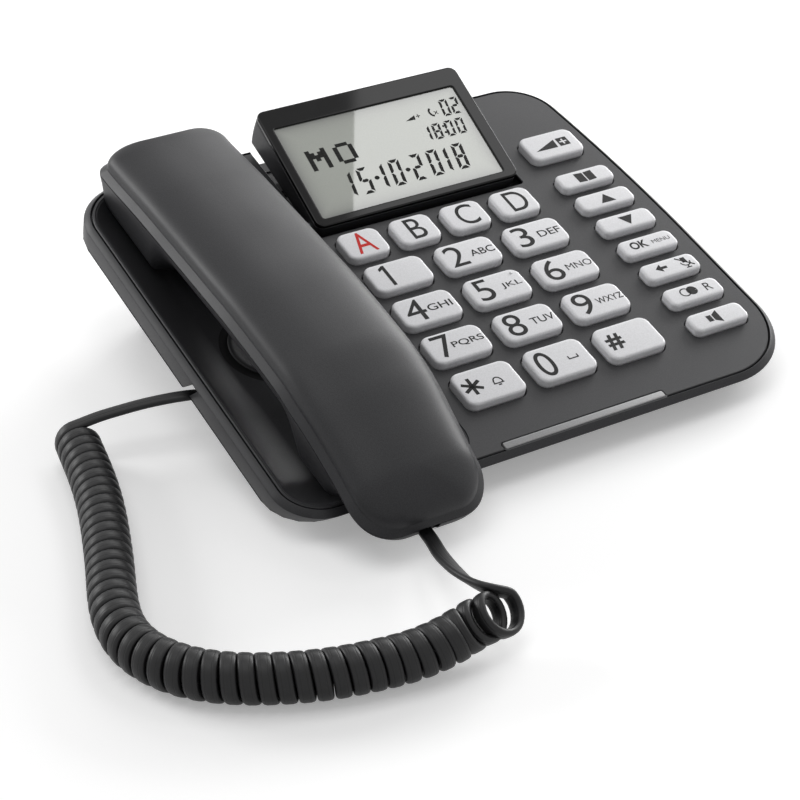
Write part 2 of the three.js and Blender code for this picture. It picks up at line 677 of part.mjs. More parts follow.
const JACK_WIDTH = PLUG_WIDTH + 2 * (JACK_WALL + JACK_CLEARANCE);
const JACK_LOW = -PLUG_HEIGHT / 2 - JACK_WALL - JACK_CLEARANCE;
const JACK_HIGH = PLUG_HEIGHT / 2 + PLUG_TAB_HEIGHT + JACK_WALL + JACK_CLEARANCE;

function jackShape() {
  const outer = block(-JACK_WIDTH / 2, JACK_WIDTH / 2, 0, JACK_LENGTH, JACK_LOW, JACK_HIGH);
  const bore = block(-PLUG_WIDTH / 2 - JACK_CLEARANCE, PLUG_WIDTH / 2 + JACK_CLEARANCE, -OVERRUN,
    JACK_LENGTH - JACK_WALL, -PLUG_HEIGHT / 2 - JACK_CLEARANCE, PLUG_HEIGHT / 2 + JACK_CLEARANCE);
  const slot = block(-PLUG_TAB_WIDTH / 2 - JACK_CLEARANCE, PLUG_TAB_WIDTH / 2 + JACK_CLEARANCE, -OVERRUN,
    JACK_LENGTH - JACK_WALL, 0, PLUG_HEIGHT / 2 + PLUG_TAB_HEIGHT + JACK_CLEARANCE);
  return carved([outer], [bore, slot]);
}

const jackRoom = (front, back) => block(-JACK_WIDTH / 2 - GAP, JACK_WIDTH / 2 + GAP, -front,
  JACK_LENGTH + back, JACK_LOW - GAP, JACK_HIGH + GAP);

// Places of the jacks: in the handset's mouth end, in the left wall and in the back wall
const handsetPlugV = HANDSET_FRONT + HANDSET_PLUG_RECESS;
const handsetPlugW = arch(HANDSET_FRONT) - HANDSET_PLUG_DROP;

function atHandsetJack(geometry, inward = 0) {
  const g = geometry.clone();
  g.translate(HANDSET_PLUG_X, handsetPlugV + inward, handsetPlugW);
  return g;
}

function atBaseJack(geometry, out = 0) {
  const g = geometry.clone();
  g.rotateY(Math.PI);
  g.rotateZ(-Math.PI / 2);
  g.translate(WEDGE_LEFT - out, BASE_PLUG_V, -BASE_PLUG_DROP);
  return g;
}

function atLineJack(geometry) {
  const g = geometry.clone();
  g.rotateZ(Math.PI);
  g.translate(LINE_JACK_X, WEDGE_BACK + deckY, LINE_JACK_HEIGHT);
  g.applyMatrix4(tableToDeck);
  return g;
}

// Every key: name, middle, size and corner
function keyPlan() {
  const keys = [];
  const numbers = [['1', '2', '3'], ['4', '5', '6'], ['7', '8', '9'], ['star', '0', 'hash']];
  numbers.forEach((row, r) => row.forEach((label, c) => {
    const last = r === numbers.length - 1;
    const depth = last ? LAST_ROW_DEPTH : NUMBER_DEPTH;
    const v = -r * NUMBER_ROW_PITCH - (depth - NUMBER_DEPTH) / 2;
    keys.push({ name: `key_${label}`, x: NUMBER_X + c * NUMBER_COLUMN_PITCH, v, width: NUMBER_WIDTH,
      depth, corner: KEY_CORNER });
  }));
  ['a', 'b', 'c', 'd'].forEach((label, c) => keys.push({ name: `key_${label}`,
    x: MEMORY_X + c * MEMORY_PITCH, v: MEMORY_V, width: MEMORY_WIDTH, depth: MEMORY_DEPTH,
    corner: KEY_CORNER }));
  ['book', 'up', 'down', 'ok', 'mute', 'redial', 'speaker'].forEach((label, r) => keys.push({
    name: `key_${label}`, x: FUNCTION_X, v: FUNCTION_V - FUNCTION_PITCH * r - FUNCTION_PITCH_GROWTH * r * r,
    width: FUNCTION_WIDTH, depth: FUNCTION_DEPTH, corner: FUNCTION_CORNER }));
  keys.push({ name: 'key_volume', x: VOLUME_X, v: VOLUME_V, width: VOLUME_WIDTH, depth: VOLUME_DEPTH,
    corner: KEY_CORNER });
  return keys;
}

const keyOutline = (key, grow) => roundRect(key.width + 2 * grow, key.depth + 2 * grow,
  key.corner + grow, KEY_CORNER_STEPS);

// A key cap with a bevelled top and a flange that the cover holds in
function keyShape(key) {
  const under = -COVER_THICKNESS - GAP;
  return loft([
    atHeight(keyOutline(key, KEY_FLANGE), under - KEY_FLANGE_HEIGHT),
    atHeight(keyOutline(key, KEY_FLANGE), under),
    atHeight(keyOutline(key, 0), under),
    atHeight(keyOutline(key, 0), KEY_HEIGHT - KEY_BEVEL_DROP),
    atHeight(keyOutline(key, -KEY_BEVEL), KEY_HEIGHT),
  ]);
}

const matTop = -COVER_THICKNESS - GAP - KEY_FLANGE_HEIGHT - KEY_TRAVEL - GAP;

// Room that the pod turns in, sunk in the cover: a flat well at the hinge, then a rising floor
function podRecess(grow, top) {
  const section = [
    [RECESS_FRONT - grow, top],
    [RECESS_FRONT - grow, -RECESS_FLOOR - grow],
    [RECESS_FRONT + RECESS_FLAT, -RECESS_FLOOR - grow],
    [RECESS_BACK + grow, -RECESS_BACK_FLOOR - grow],
    [RECESS_BACK + grow, top],
  ];
  const half = POD_WIDTH / 2 + POD_SIDE_GAP + grow;
  const shape = new THREE.Shape(section.map(([v, w]) => new THREE.Vector2(v, w)));
  const bar = new THREE.ExtrudeGeometry(shape, { depth: 2 * half, bevelEnabled: false });
  bar.applyMatrix4(new THREE.Matrix4().makeBasis(
    new THREE.Vector3(0, 1, 0),
    new THREE.Vector3(0, 0, 1),
    new THREE.Vector3(1, 0, 0),
  ));
  bar.translate(POD_X - half, 0, 0);
  return bar;
}

// Pivot of the pod in the deck frame
const pivotV = POD_V + POD_PIVOT_A * Math.cos(POD_TILT) + POD_PIVOT_B * Math.sin(POD_TILT);
const pivotW = KEY_HEIGHT + POD_PIVOT_A * Math.sin(POD_TILT) - POD_PIVOT_B * Math.cos(POD_TILT);

function alongX(geometry, x, y, z) {
  const g = geometry.clone();
  g.rotateY(Math.PI / 2);
  g.translate(x, y, z);
  return g;
}

function speakerSlots(count, ring, low, high) {
  const outline = roundRect(SPEAKER_SLOT_LENGTH, SPEAKER_SLOT_WIDTH, SPEAKER_SLOT_WIDTH / 3, 1);
  const slots = [prism(outline, low, high)];
  for (let i = 0; i < count; i += 1) {
    const slot = prism(outline, low, high);
    slot.translate(ring, 0, 0);
    slot.rotateZ(2 * Math.PI * i / count);
    slots.push(slot);
  }
  return slots;
}

function lightBarOutline(grow) {
  const x = PANEL_LEFT + PANEL_WIDTH * LIGHT_BAR_PLACE_SHARE;
  const front = BODY_FRONT + CHAMFER + COVER_GROOVE - COVER_EDGE_ROUND;
  return roundRect(LIGHT_BAR_LENGTH + 2 * grow, LIGHT_BAR_DEPTH + 2 * grow, LIGHT_BAR_DEPTH / 4, 2,
    x, front + LIGHT_BAR_DEPTH / 2);
}

function topCover() {
  const edge = CHAMFER + COVER_GROOVE;
  const plate = loft([
    wallRing(edge, -COVER_THICKNESS),
    wallRing(edge, -COVER_EDGE_ROUND),
    wallRing(edge + COVER_EDGE_ROUND, 0),
  ]);
  const inPlate = -COVER_EDGE_ROUND - GAP;
  const boss = (side) => alongX(
    drum(PIN_BOSS_RADIUS, 0, PIN_BOSS_LENGTH, PIN_STEPS),
    POD_X + side * (POD_WIDTH / 2 + POD_SIDE_GAP) + (side < 0 ? -PIN_BOSS_LENGTH : 0),
    pivotV,
    pivotW,
  );
  const below = block(-BODY_WIDTH, BODY_WIDTH, BODY_FRONT, BODY_BACK, inPlate, BODY_WIDTH);
  const bosses = [-1, 1].map((side) => fromSolid(solid(boss(side)).subtract(solid(below))));
  const bearing = alongX(
    drum(PIN_RADIUS + GAP, 0, POD_WIDTH + 2 * (POD_SIDE_GAP + PIN_LENGTH), PIN_STEPS),
    POD_X - POD_WIDTH / 2 - POD_SIDE_GAP - PIN_LENGTH,
    pivotV,
    pivotW,
  );
  const deep = -CRADLE_DEPTH - CRADLE_WALL - OVERRUN;
  const keyHoles = keyPlan().map((key) => prism(
    keyOutline(key, SLIDE_GAP).map(([x, v]) => [x + key.x, v + key.v]),
    -COVER_THICKNESS - OVERRUN,
    OVERRUN,
  ));
  const hookHole = block(CRADLE_X - HOOK_WIDTH / 2 - SLIDE_GAP, CRADLE_X + HOOK_WIDTH / 2 + SLIDE_GAP,
    HOOK_V - HOOK_LENGTH / 2 - SLIDE_GAP, HOOK_V + HOOK_LENGTH / 2 + SLIDE_GAP, deep, 0);
  const ring = drum(SPEAKER_RING_RADIUS, -CRADLE_DEPTH - SPEAKER_RING_DROP, 0, 2 * FOOT_STEPS,
    CRADLE_X, SPEAKER_V);
  const hole = drum(SPEAKER_HOLE_RADIUS, deep, 0, FOOT_STEPS, CRADLE_X, SPEAKER_V);
  const lightSeat = prism(lightBarOutline(GAP), LIGHT_BAR_PROUD - LIGHT_BAR_HEIGHT - GAP, OVERRUN);
  return carved(
    [plate, cradle(CRADLE_WALL, inPlate), podRecess(RECESS_WALL, inPlate), ...bosses],
    [cradle(0, OVERRUN), podRecess(0, OVERRUN), bearing, ...keyHoles, hookHole, ring, hole, lightSeat],
  );
}

// The hollow wedge that lifts the base, upright in the table's frame
function wedge(inset, low) {
  const width = WEDGE_RIGHT - WEDGE_LEFT - 2 * inset;
  const depth = WEDGE_BACK - WEDGE_FRONT - 2 * inset;
  const outline = roundRect(width, depth, WEDGE_CORNER - inset, CURVE_STEPS,
    (WEDGE_LEFT + WEDGE_RIGHT) / 2, (WEDGE_FRONT + WEDGE_BACK) / 2 + deckY);
  const g = prism(outline, low, 2 * DECK_HEIGHT);
  g.applyMatrix4(tableToDeck);
  return g;
}

const feet = [[0, 0], [1, 0], [0, 1], [1, 1]].map(([right, back]) => [
  right ? WEDGE_RIGHT - FOOT_MARGIN : WEDGE_LEFT + FOOT_MARGIN,
  (back ? WEDGE_BACK - FOOT_MARGIN : WEDGE_FRONT + FOOT_MARGIN) + deckY,
]);

function bottomShell() {
  const far = 2 * BODY_WIDTH;
  const slab = loft([
    wallRing(0, -SLAB_DEPTH),
    wallRing(0, -CHAMFER_DROP),
    wallRing(CHAMFER, 0),
  ]);
  const under = (level) => solid(block(-far, far, -far, far, -far, level));
  const outerWedge = fromSolid(solid(wedge(0, FOOT_HEIGHT)).intersect(under(-SLAB_DEPTH + WALL / 2)));
  const innerWedge = fromSolid(
    solid(wedge(WALL, FOOT_HEIGHT + FLOOR_WALL)).intersect(under(-LEDGE_DROP - WALL)),
  );
  const coverRoom = loft([wallRing(CHAMFER, -LEDGE_DROP), wallRing(CHAMFER, OVERRUN)]);
  const room = loft([
    wallRing(CHAMFER + COVER_LEDGE, -SLAB_DEPTH + WALL),
    wallRing(CHAMFER + COVER_LEDGE, 0),
  ]);
  const seats = feet.map(([x, y]) => {
    const seat = drum(FOOT_RADIUS + GAP, 0, FOOT_HEIGHT + FOOT_SEAT, FOOT_STEPS, x, y);
    seat.applyMatrix4(tableToDeck);
    return seat;
  });
  const notch = block(-far, WEDGE_LEFT + WALL, BASE_PLUG_V - CORD_NOTCH_WIDTH / 2,
    BASE_PLUG_V + CORD_NOTCH_WIDTH / 2, -SLAB_DEPTH - OVERRUN, -CORD_NOTCH_TOP);
  const plugRoom = block(-BODY_WIDTH / 2 + 2 * WALL, WEDGE_LEFT + OVERRUN, BASE_PLUG_V - PLUG_WIDTH,
    BASE_PLUG_V + PLUG_WIDTH, -SLAB_DEPTH - OVERRUN, -SLAB_DEPTH + WALL / 2);
  const pocketOutside = solid(cradle(CRADLE_WALL + GAP + CRADLE_POCKET_WALL, -LEDGE_DROP));
  const pocket = fromSolid(pocketOutside.intersect(under(-SLAB_DEPTH + WALL / 2)));
  return carved([slab, outerWedge, pocket], [
    coverRoom, room, innerWedge, cradle(CRADLE_WALL + GAP, OVERRUN), podRecess(RECESS_WALL + GAP, OVERRUN),
    ...seats, notch, plugRoom, atBaseJack(jackRoom(0, GAP)), atLineJack(jackRoom(OVERRUN, GAP)),
  ]);
}

function footMeshes() {
  return feet.map(([x, y], i) => {
    const height = FOOT_HEIGHT + FOOT_SEAT - GAP;
    const pad = turned([
      [0, 0], [FOOT_RADIUS - FOOT_SEAT / 2, 0], [FOOT_RADIUS, FOOT_SEAT / 2], [FOOT_RADIUS, height],
      [0, height],
    ], FOOT_STEPS);
    const mesh = named(`foot_${i + 1}`, pad, BLACK_RUBBER);
    mesh.position.set(x, y, 0);
    return mesh;
  });
}

// Flat pieces under the keys
function keypadMat() {
  const keys = keyPlan();
  const right = FUNCTION_X + FUNCTION_WIDTH / 2 + MAT_MARGIN;
  const left = NUMBER_X - NUMBER_WIDTH / 2 - MAT_MARGIN;
  const front = keys.find((key) => key.name === 'key_speaker');
  const low = front.v - FUNCTION_DEPTH / 2 - MAT_MARGIN;
  const back = MEMORY_V + MEMORY_DEPTH / 2 + MAT_MARGIN;
  const volumeBack = VOLUME_V + VOLUME_DEPTH / 2 + MAT_MARGIN;
  const volumeLeft = VOLUME_X - VOLUME_WIDTH / 2 - MAT_MARGIN;
  const outline = [
    [left, low], [right, low], [right, volumeBack], [volumeLeft, volumeBack],
    [volumeLeft, back], [left, back],
  ];
  return prism(outline, matTop - MAT_THICKNESS, matTop);
}

function mainBoard() {
  const top = matTop - MAT_THICKNESS - GAP;
  const left = NUMBER_X - NUMBER_WIDTH / 2;
  const right = WEDGE_RIGHT - BOARD_MARGIN;
  const front = WEDGE_FRONT + BOARD_MARGIN;
  return block(left, right, front, RECESS_FRONT - RECESS_WALL - BOARD_MARGIN, top - BOARD_THICKNESS, top);
}

function baseParts() {
  const grille = carved(
    [turned([[0, 0], [SPEAKER_DISC_RADIUS, 0], [SPEAKER_DISC_RADIUS, SPEAKER_DISC_THICKNESS / 2],
      [SPEAKER_DISC_RADIUS - SPEAKER_DISC_THICKNESS / 2, SPEAKER_DISC_THICKNESS],
      [0, SPEAKER_DISC_THICKNESS]], 2 * FOOT_STEPS)],
    speakerSlots(SPEAKER_SLOT_COUNT, SPEAKER_SLOT_RING, -OVERRUN, OVERRUN),
  );
  grille.translate(CRADLE_X, SPEAKER_V, -CRADLE_DEPTH - SPEAKER_RING_DROP + GAP);
  const speaker = turned([
    [0, 0], [LOUDSPEAKER_RADIUS, 0], [LOUDSPEAKER_RADIUS, -LOUDSPEAKER_DEPTH / 4],
    [MAGNET_RADIUS + LOUDSPEAKER_DEPTH / 4, -LOUDSPEAKER_DEPTH], [MAGNET_RADIUS, -LOUDSPEAKER_DEPTH],
    [MAGNET_RADIUS, -LOUDSPEAKER_DEPTH - MAGNET_DEPTH], [0, -LOUDSPEAKER_DEPTH - MAGNET_DEPTH],
  ], FOOT_STEPS, CRADLE_X, SPEAKER_V, -CRADLE_DEPTH - CRADLE_WALL - GAP);
  const bar = prism(lightBarOutline(0), LIGHT_BAR_PROUD - LIGHT_BAR_HEIGHT, LIGHT_BAR_PROUD);
  return [
    named('top_cover', topCover(), DARK_PLASTIC),
    named('bottom_shell', bottomShell(), DARK_PLASTIC),
    named('speaker_grille', grille, UNDER_PLASTIC),
    named('loudspeaker', speaker, STEEL),
    named('light_bar', bar, CLEAR_GREY),
    named('keypad_mat', keypadMat(), BLACK_RUBBER),
    named('main_board', mainBoard(), BOARD_GREEN),
    named('handset_socket', atBaseJack(jackShape()), UNDER_PLASTIC),
    named('line_socket', atLineJack(jackShape()), UNDER_PLASTIC),
    named('plug_base', atBaseJack(plugShape(), PLUG_OUT), CLEAR_PLASTIC),
  ];
}

// Plunger under the ear cup and the switch that it works
const hookTop = -CRADLE_DEPTH + CUP_FOOT_GAP - GAP;
const hookFlangeTop = -CRADLE_DEPTH - CRADLE_WALL - GAP - HOOK_TRAVEL;

function hookParts() {
  const half = HOOK_WIDTH / 2;
  const long = HOOK_LENGTH / 2;
  const stem = block(CRADLE_X - half, CRADLE_X + half, HOOK_V - long, HOOK_V + long,
    hookFlangeTop - HOOK_FLANGE_HEIGHT, hookTop);
  const flange = block(CRADLE_X - half - HOOK_FLANGE, CRADLE_X + half + HOOK_FLANGE,
    HOOK_V - long - HOOK_FLANGE, HOOK_V + long + HOOK_FLANGE,
    hookFlangeTop - HOOK_FLANGE_HEIGHT, hookFlangeTop);
  const low = hookFlangeTop - HOOK_FLANGE_HEIGHT - GAP;
  const wide = HOOK_SWITCH_WIDTH / 2;
  const deep = HOOK_SWITCH_LENGTH / 2;
  const body = block(CRADLE_X - wide, CRADLE_X + wide, HOOK_V - deep, HOOK_V + deep,
    low - HOOK_SWITCH_HEIGHT, low);
  const post = (side) => block(
    CRADLE_X + side * (wide + HOOK_BRACKET / 2) - HOOK_BRACKET / 2,
    CRADLE_X + side * (wide + HOOK_BRACKET / 2) + HOOK_BRACKET / 2,
    HOOK_V - deep, HOOK_V + deep, low - HOOK_SWITCH_HEIGHT, -CRADLE_DEPTH - CRADLE_WALL - GAP,
  );
  return [
    named('hook_button', carved([stem, flange], []), UNDER_PLASTIC),
    named('hook_switch', carved([body, post(-1), post(1)], []), UNDER_PLASTIC),
  ];
}

function keyMeshes() {
  return keyPlan().map((key) => {
    const mesh = named(key.name, keyShape(key), KEY_SILVER);
    mesh.position.set(key.x, key.v, 0);
    return mesh;
  });
}

// Section of the pod's housing in (a, b): rounded front lip, tapering to the back
function podSection(inset) {
  const low = -POD_DEPTH + inset;
  const lip = POD_LIP_RADIUS - inset / 2;
  const quarter = Math.PI / 2;
  return [
    [inset, -LENS_THICKNESS - GAP],
    ...arc(inset + lip, low + lip, lip, 2 * quarter, 3 * quarter, CURVE_STEPS),
    [POD_DEEP_LENGTH, low],
    ...arc(POD_LENGTH - inset - lip / 2, -POD_BACK_DEPTH + inset + lip / 2, lip / 2, -quarter, 0, 2),
    [POD_LENGTH - inset, -LENS_THICKNESS - GAP],
  ];
}

function podBar(section, half) {
  const shape = new THREE.Shape(section.map(([a, b]) => new THREE.Vector2(a, b)));
  const bar = new THREE.ExtrudeGeometry(shape, { depth: 2 * half, bevelEnabled: false });
  bar.applyMatrix4(new THREE.Matrix4().makeBasis(
    new THREE.Vector3(0, 1, 0),
    new THREE.Vector3(0, 0, 1),
    new THREE.Vector3(1, 0, 0),
  ));
  bar.translate(-half, 0, 0);
  return bar;
}

// The pod, drawn round its pivot so that it can be turned there
function displayPod() {
  const half = POD_WIDTH / 2;
  const seat = (side) => alongX(
    drum(PIN_RADIUS + GAP, -OVERRUN / 2, PIN_SEAT, PIN_STEPS),
    side < 0 ? -half : half - PIN_SEAT + OVERRUN / 2,
    POD_PIVOT_A,
    -POD_PIVOT_B,
  );
  const open = podSection(POD_WALL).map(([a, b], i, all) => (
    i === 0 || i === all.length - 1 ? [a, OVERRUN] : [a, b]
  ));
  const housing = carved(
    [podBar(podSection(0), half)],
    [podBar(open, half - 2 * POD_WALL), seat(-1), seat(1)],
  );
  const window = roundRect(LCD_RIGHT - LCD_LEFT, LCD_HIGH - LCD_LOW, POD_CORNER / 4, 1,
    (LCD_LEFT + LCD_RIGHT) / 2 - half, (LCD_LOW + LCD_HIGH) / 2);
  const face = (inset) => roundRect(POD_WIDTH - 2 * inset, POD_LENGTH - 2 * inset, POD_CORNER, 3, 0,
    POD_LENGTH / 2);
  const lens = carved(
    [loft([atHeight(face(0), -LENS_THICKNESS), atHeight(face(0), -LENS_THICKNESS / 3),
      atHeight(face(LENS_THICKNESS / 3), 0)])],
    [prism(window, -LENS_THICKNESS / 3, OVERRUN)],
  );
  const inner = half - 2 * POD_WALL - GAP;
  const glassLow = Math.max(LCD_LOW - LCD_BORDER, POD_WALL + GAP);
  const glassTop = -LENS_THICKNESS - GAP;
  const glassLeft = Math.max(LCD_LEFT - half - LCD_BORDER, -inner);
  const glassRight = Math.min(LCD_RIGHT - half + LCD_BORDER, inner);
  const lcd = block(glassLeft, glassRight, glassLow, LCD_HIGH + LCD_BORDER,
    glassTop - LCD_THICKNESS, glassTop);
  const boardTop = glassTop - LCD_THICKNESS - GAP;
  const board = block(-inner, inner, POD_WALL + DISPLAY_BOARD_MARGIN,
    POD_WALL + DISPLAY_BOARD_MARGIN + DISPLAY_BOARD_LENGTH, boardTop - DISPLAY_BOARD_THICKNESS, boardTop);
  const pin = (side) => alongX(
    drum(PIN_RADIUS, 0, PIN_SEAT - GAP + POD_SIDE_GAP + PIN_LENGTH - GAP, PIN_STEPS),
    side < 0 ? -half - POD_SIDE_GAP - PIN_LENGTH + GAP : half - PIN_SEAT + GAP,
    POD_PIVOT_A,
    -POD_PIVOT_B,
  );
  const pod = new THREE.Group();
  pod.add(
    named('display_housing', housing, DARK_PLASTIC),
    named('display_lens', lens, GLOSS_BLACK),
    named('lcd_panel', lcd, LCD_GREY),
    named('display_board', board, BOARD_GREEN),
    named('display_hinge_pin_left', pin(-1), STEEL),
    named('display_hinge_pin_right', pin(1), STEEL),
  );
  pod.rotation.x = POD_TILT;
  pod.position.set(POD_X, POD_V, KEY_HEIGHT);
  return pod;
}

function handsetParts() {
  const footTop = (v) => underside(v) + HANDSET_WALL;
  const jackHole = atHandsetJack(jackRoom(2 * OVERRUN, GAP), PLUG_OUT);
  const lower = carved([handsetLower(0, -GAP / 2)], [
    handsetLower(HANDSET_WALL, OVERRUN),
    jackHole,
    drum(EARPIECE_GRILLE_RADIUS + GAP, -SLAB_DEPTH, underside(EARPIECE_V) + EARPIECE_GRILLE_THICKNESS,
      FOOT_STEPS, CRADLE_X, EARPIECE_V),
    drum(EARPIECE_RADIUS / 2, -SLAB_DEPTH, 0, FOOT_STEPS, CRADLE_X, EARPIECE_V),
    drum(SOUND_HOLE_RADIUS, -SLAB_DEPTH, 0, CURVE_STEPS, CRADLE_X, MICROPHONE_V),
  ]);
  const upper = carved([handsetUpper(0, GAP / 2)], [
    handsetUpper(HANDSET_WALL, -OVERRUN),
    jackHole,
  ]);
  const holes = [];
  for (let i = 0; i < SOUND_HOLE_COUNT; i += 1) {
    const angle = 2 * Math.PI * i / SOUND_HOLE_COUNT;
    holes.push(drum(SOUND_HOLE_RADIUS, -OVERRUN, OVERRUN, CURVE_STEPS,
      SOUND_HOLE_RING * Math.cos(angle) / 2, SOUND_HOLE_RING * Math.sin(angle) / 2));
  }
  const disc = drum(EARPIECE_GRILLE_RADIUS, 0, EARPIECE_GRILLE_THICKNESS - GAP, FOOT_STEPS);
  const grille = carved([disc], holes);
  grille.translate(CRADLE_X, EARPIECE_V, underside(EARPIECE_V));
  const receiverLow = footTop(EARPIECE_V) + GAP;
  const receiver = drum(EARPIECE_RADIUS, receiverLow, receiverLow + EARPIECE_DEPTH, FOOT_STEPS,
    CRADLE_X, EARPIECE_V);
  const microphone = drum(MICROPHONE_RADIUS, footTop(MICROPHONE_V) + GAP,
    footTop(MICROPHONE_V) + GAP + MICROPHONE_DEPTH, PIN_STEPS, CRADLE_X, MICROPHONE_V);
  const weightLow = footTop(HANDSET_WEIGHT_V - HANDSET_WEIGHT_LENGTH / 2) + GAP;
  const weight = block(CRADLE_X - HANDSET_WEIGHT_WIDTH / 4, CRADLE_X + HANDSET_WEIGHT_WIDTH / 4,
    HANDSET_WEIGHT_V - HANDSET_WEIGHT_LENGTH / 2, HANDSET_WEIGHT_V + HANDSET_WEIGHT_LENGTH / 2,
    weightLow, weightLow + HANDSET_WEIGHT_DEPTH);
  return [
    named('handset_bottom_shell', lower, UNDER_PLASTIC),
    named('handset_top_shell', upper, DARK_PLASTIC),
    named('earpiece_grille', grille, UNDER_PLASTIC),
    named('earpiece_receiver', receiver, STEEL),
    named('microphone', microphone, STEEL),
    named('handset_weight', weight, STEEL),
    named('handset_jack', atHandsetJack(jackShape(), PLUG_OUT), UNDER_PLASTIC),
    named('plug_handset', atHandsetJack(plugShape()), CLEAR_PLASTIC),
  ];
}

// Tube of round section along centre points, closed with flat ends
function tube(points, radius, sides) {
  const rings = points.map((p, i) => {
    const before = points[Math.max(i - 1, 0)];
    const after = points[Math.min(i + 1, points.length - 1)];
    const ahead = new THREE.Vector3().subVectors(after, before).normalize();
    return { p, ahead };
  });
  let side = new THREE.Vector3(0, 0, 1).cross(rings[0].ahead).normalize();
  const positions = [];
  rings.forEach(({ p, ahead }) => {
    side.addScaledVector(ahead, -side.dot(ahead)).normalize();
    const up = new THREE.Vector3().crossVectors(ahead, side);
    for (let k = 0; k < sides; k += 1) {
      const angle = 2 * Math.PI * k / sides;
      const at = p.clone()
        .addScaledVector(side, radius * Math.cos(angle))
        .addScaledVector(up, radius * Math.sin(angle));
      positions.push(at.x, at.y, at.z);
    }
  });
  const triangles = [];
  for (let i = 0; i < points.length - 1; i += 1) {
    for (let k = 0; k < sides; k += 1) {
      const a = i * sides + k;
      const b = i * sides + (k + 1) % sides;
      triangles.push(a, b, b + sides, a, b + sides, a + sides);
    }
  }
  const last = (points.length - 1) * sides;
  for (let k = 1; k < sides - 1; k += 1) {
    triangles.push(0, k + 1, k);
    triangles.push(last, last + k, last + k + 1);
  }
  return closed(positions, triangles);
}

// Smooth curve that starts and ends on the first and last point and eases past the others
function eased(list, steps) {
  const ends = [
    list[0].clone().multiplyScalar(2).sub(list[1]),
    list.at(-1).clone().multiplyScalar(2).sub(list.at(-2)),
  ];
  const all = [ends[0], ...list, ends[1]];
  const points = [];
  for (let i = 0; i < list.length - 1; i += 1) {
    for (let k = 0; k < steps; k += 1) {
      const t = k / steps;
      const weights = [
        (1 - t) ** 3,
        3 * t ** 3 - 6 * t ** 2 + 4,
        -3 * t ** 3 + 3 * t ** 2 + 3 * t + 1,
        t ** 3,
      ];
      const point = new THREE.Vector3();
      weights.forEach((weight, j) => point.addScaledVector(all[i + j], weight / 6));
      points.push(point);
    }
  }
  points.push(list.at(-1).clone());
  return new THREE.CatmullRomCurve3(points);
}

// Curly cord: a helix round its route, its ends run straight on the axis for one cord diameter
function coilCentre() {
  const z = COIL_DIAMETER / 2 + COIL_LIFT;
  const route = eased(COIL_POINTS.map(([x, y]) => new THREE.Vector3(x, y, z)), CURVE_STEPS);
  const length = route.getLength();
  const turnLength = (length - 2 * CORD_DIAMETER) / COIL_TURNS;
  const radius = (COIL_DIAMETER - CORD_DIAMETER) / 2;
  const up = new THREE.Vector3(0, 0, 1);
  const points = [route.getPointAt(0)];
  for (let i = 0; i <= COIL_TURNS * COIL_STEPS; i += 1) {
    const turn = i / COIL_STEPS;
    const share = (CORD_DIAMETER + turn * turnLength) / length;
    const ramp = Math.min(1, turn / COIL_RAMP_TURNS, (COIL_TURNS - turn) / COIL_RAMP_TURNS);
    const ease = Math.sin(ramp * Math.PI / 2);
    const side = new THREE.Vector3().crossVectors(up, route.getTangentAt(share)).normalize();
    const angle = 2 * Math.PI * turn;
    points.push(route.getPointAt(share)
      .addScaledVector(side, radius * ease * Math.cos(angle))
      .addScaledVector(up, radius * ease * Math.sin(angle)));
  }
  points.push(route.getPointAt(1));
  return { points, start: route.getTangentAt(0), end: route.getTangentAt(1) };
}

// Least distance between surfaces of turns that are not next to each other along the tube
function leastGap(points, diameter) {
  let least = Infinity;
  const apart = COIL_STEPS - 2;
  for (let i = 0; i < points.length - 1; i += 1) {
    const a = new THREE.Line3(points[i], points[i + 1]);
    for (let j = i + apart; j < Math.min(points.length - 1, i + 3 * COIL_STEPS); j += 1) {
      for (let s = 0; s <= 1; s += CORD_SAMPLE_SHARE) {
        const on = a.at(s, new THREE.Vector3());
        const near = new THREE.Line3(points[j], points[j + 1])
          .closestPointToPoint(on, true, new THREE.Vector3());
        least = Math.min(least, on.distanceTo(near));
      }
    }
  }
  return least - diameter;
}

// Free lead between two fixed ends: evenly stepped points on a smooth curve
function leadPoints(list) {
  const curve = eased(list, CURVE_STEPS);
  const steps = Math.ceil(curve.getLength() / (LEAD_STEP_DIAMETERS * CORD_DIAMETER));
  return curve.getSpacedPoints(steps);
}

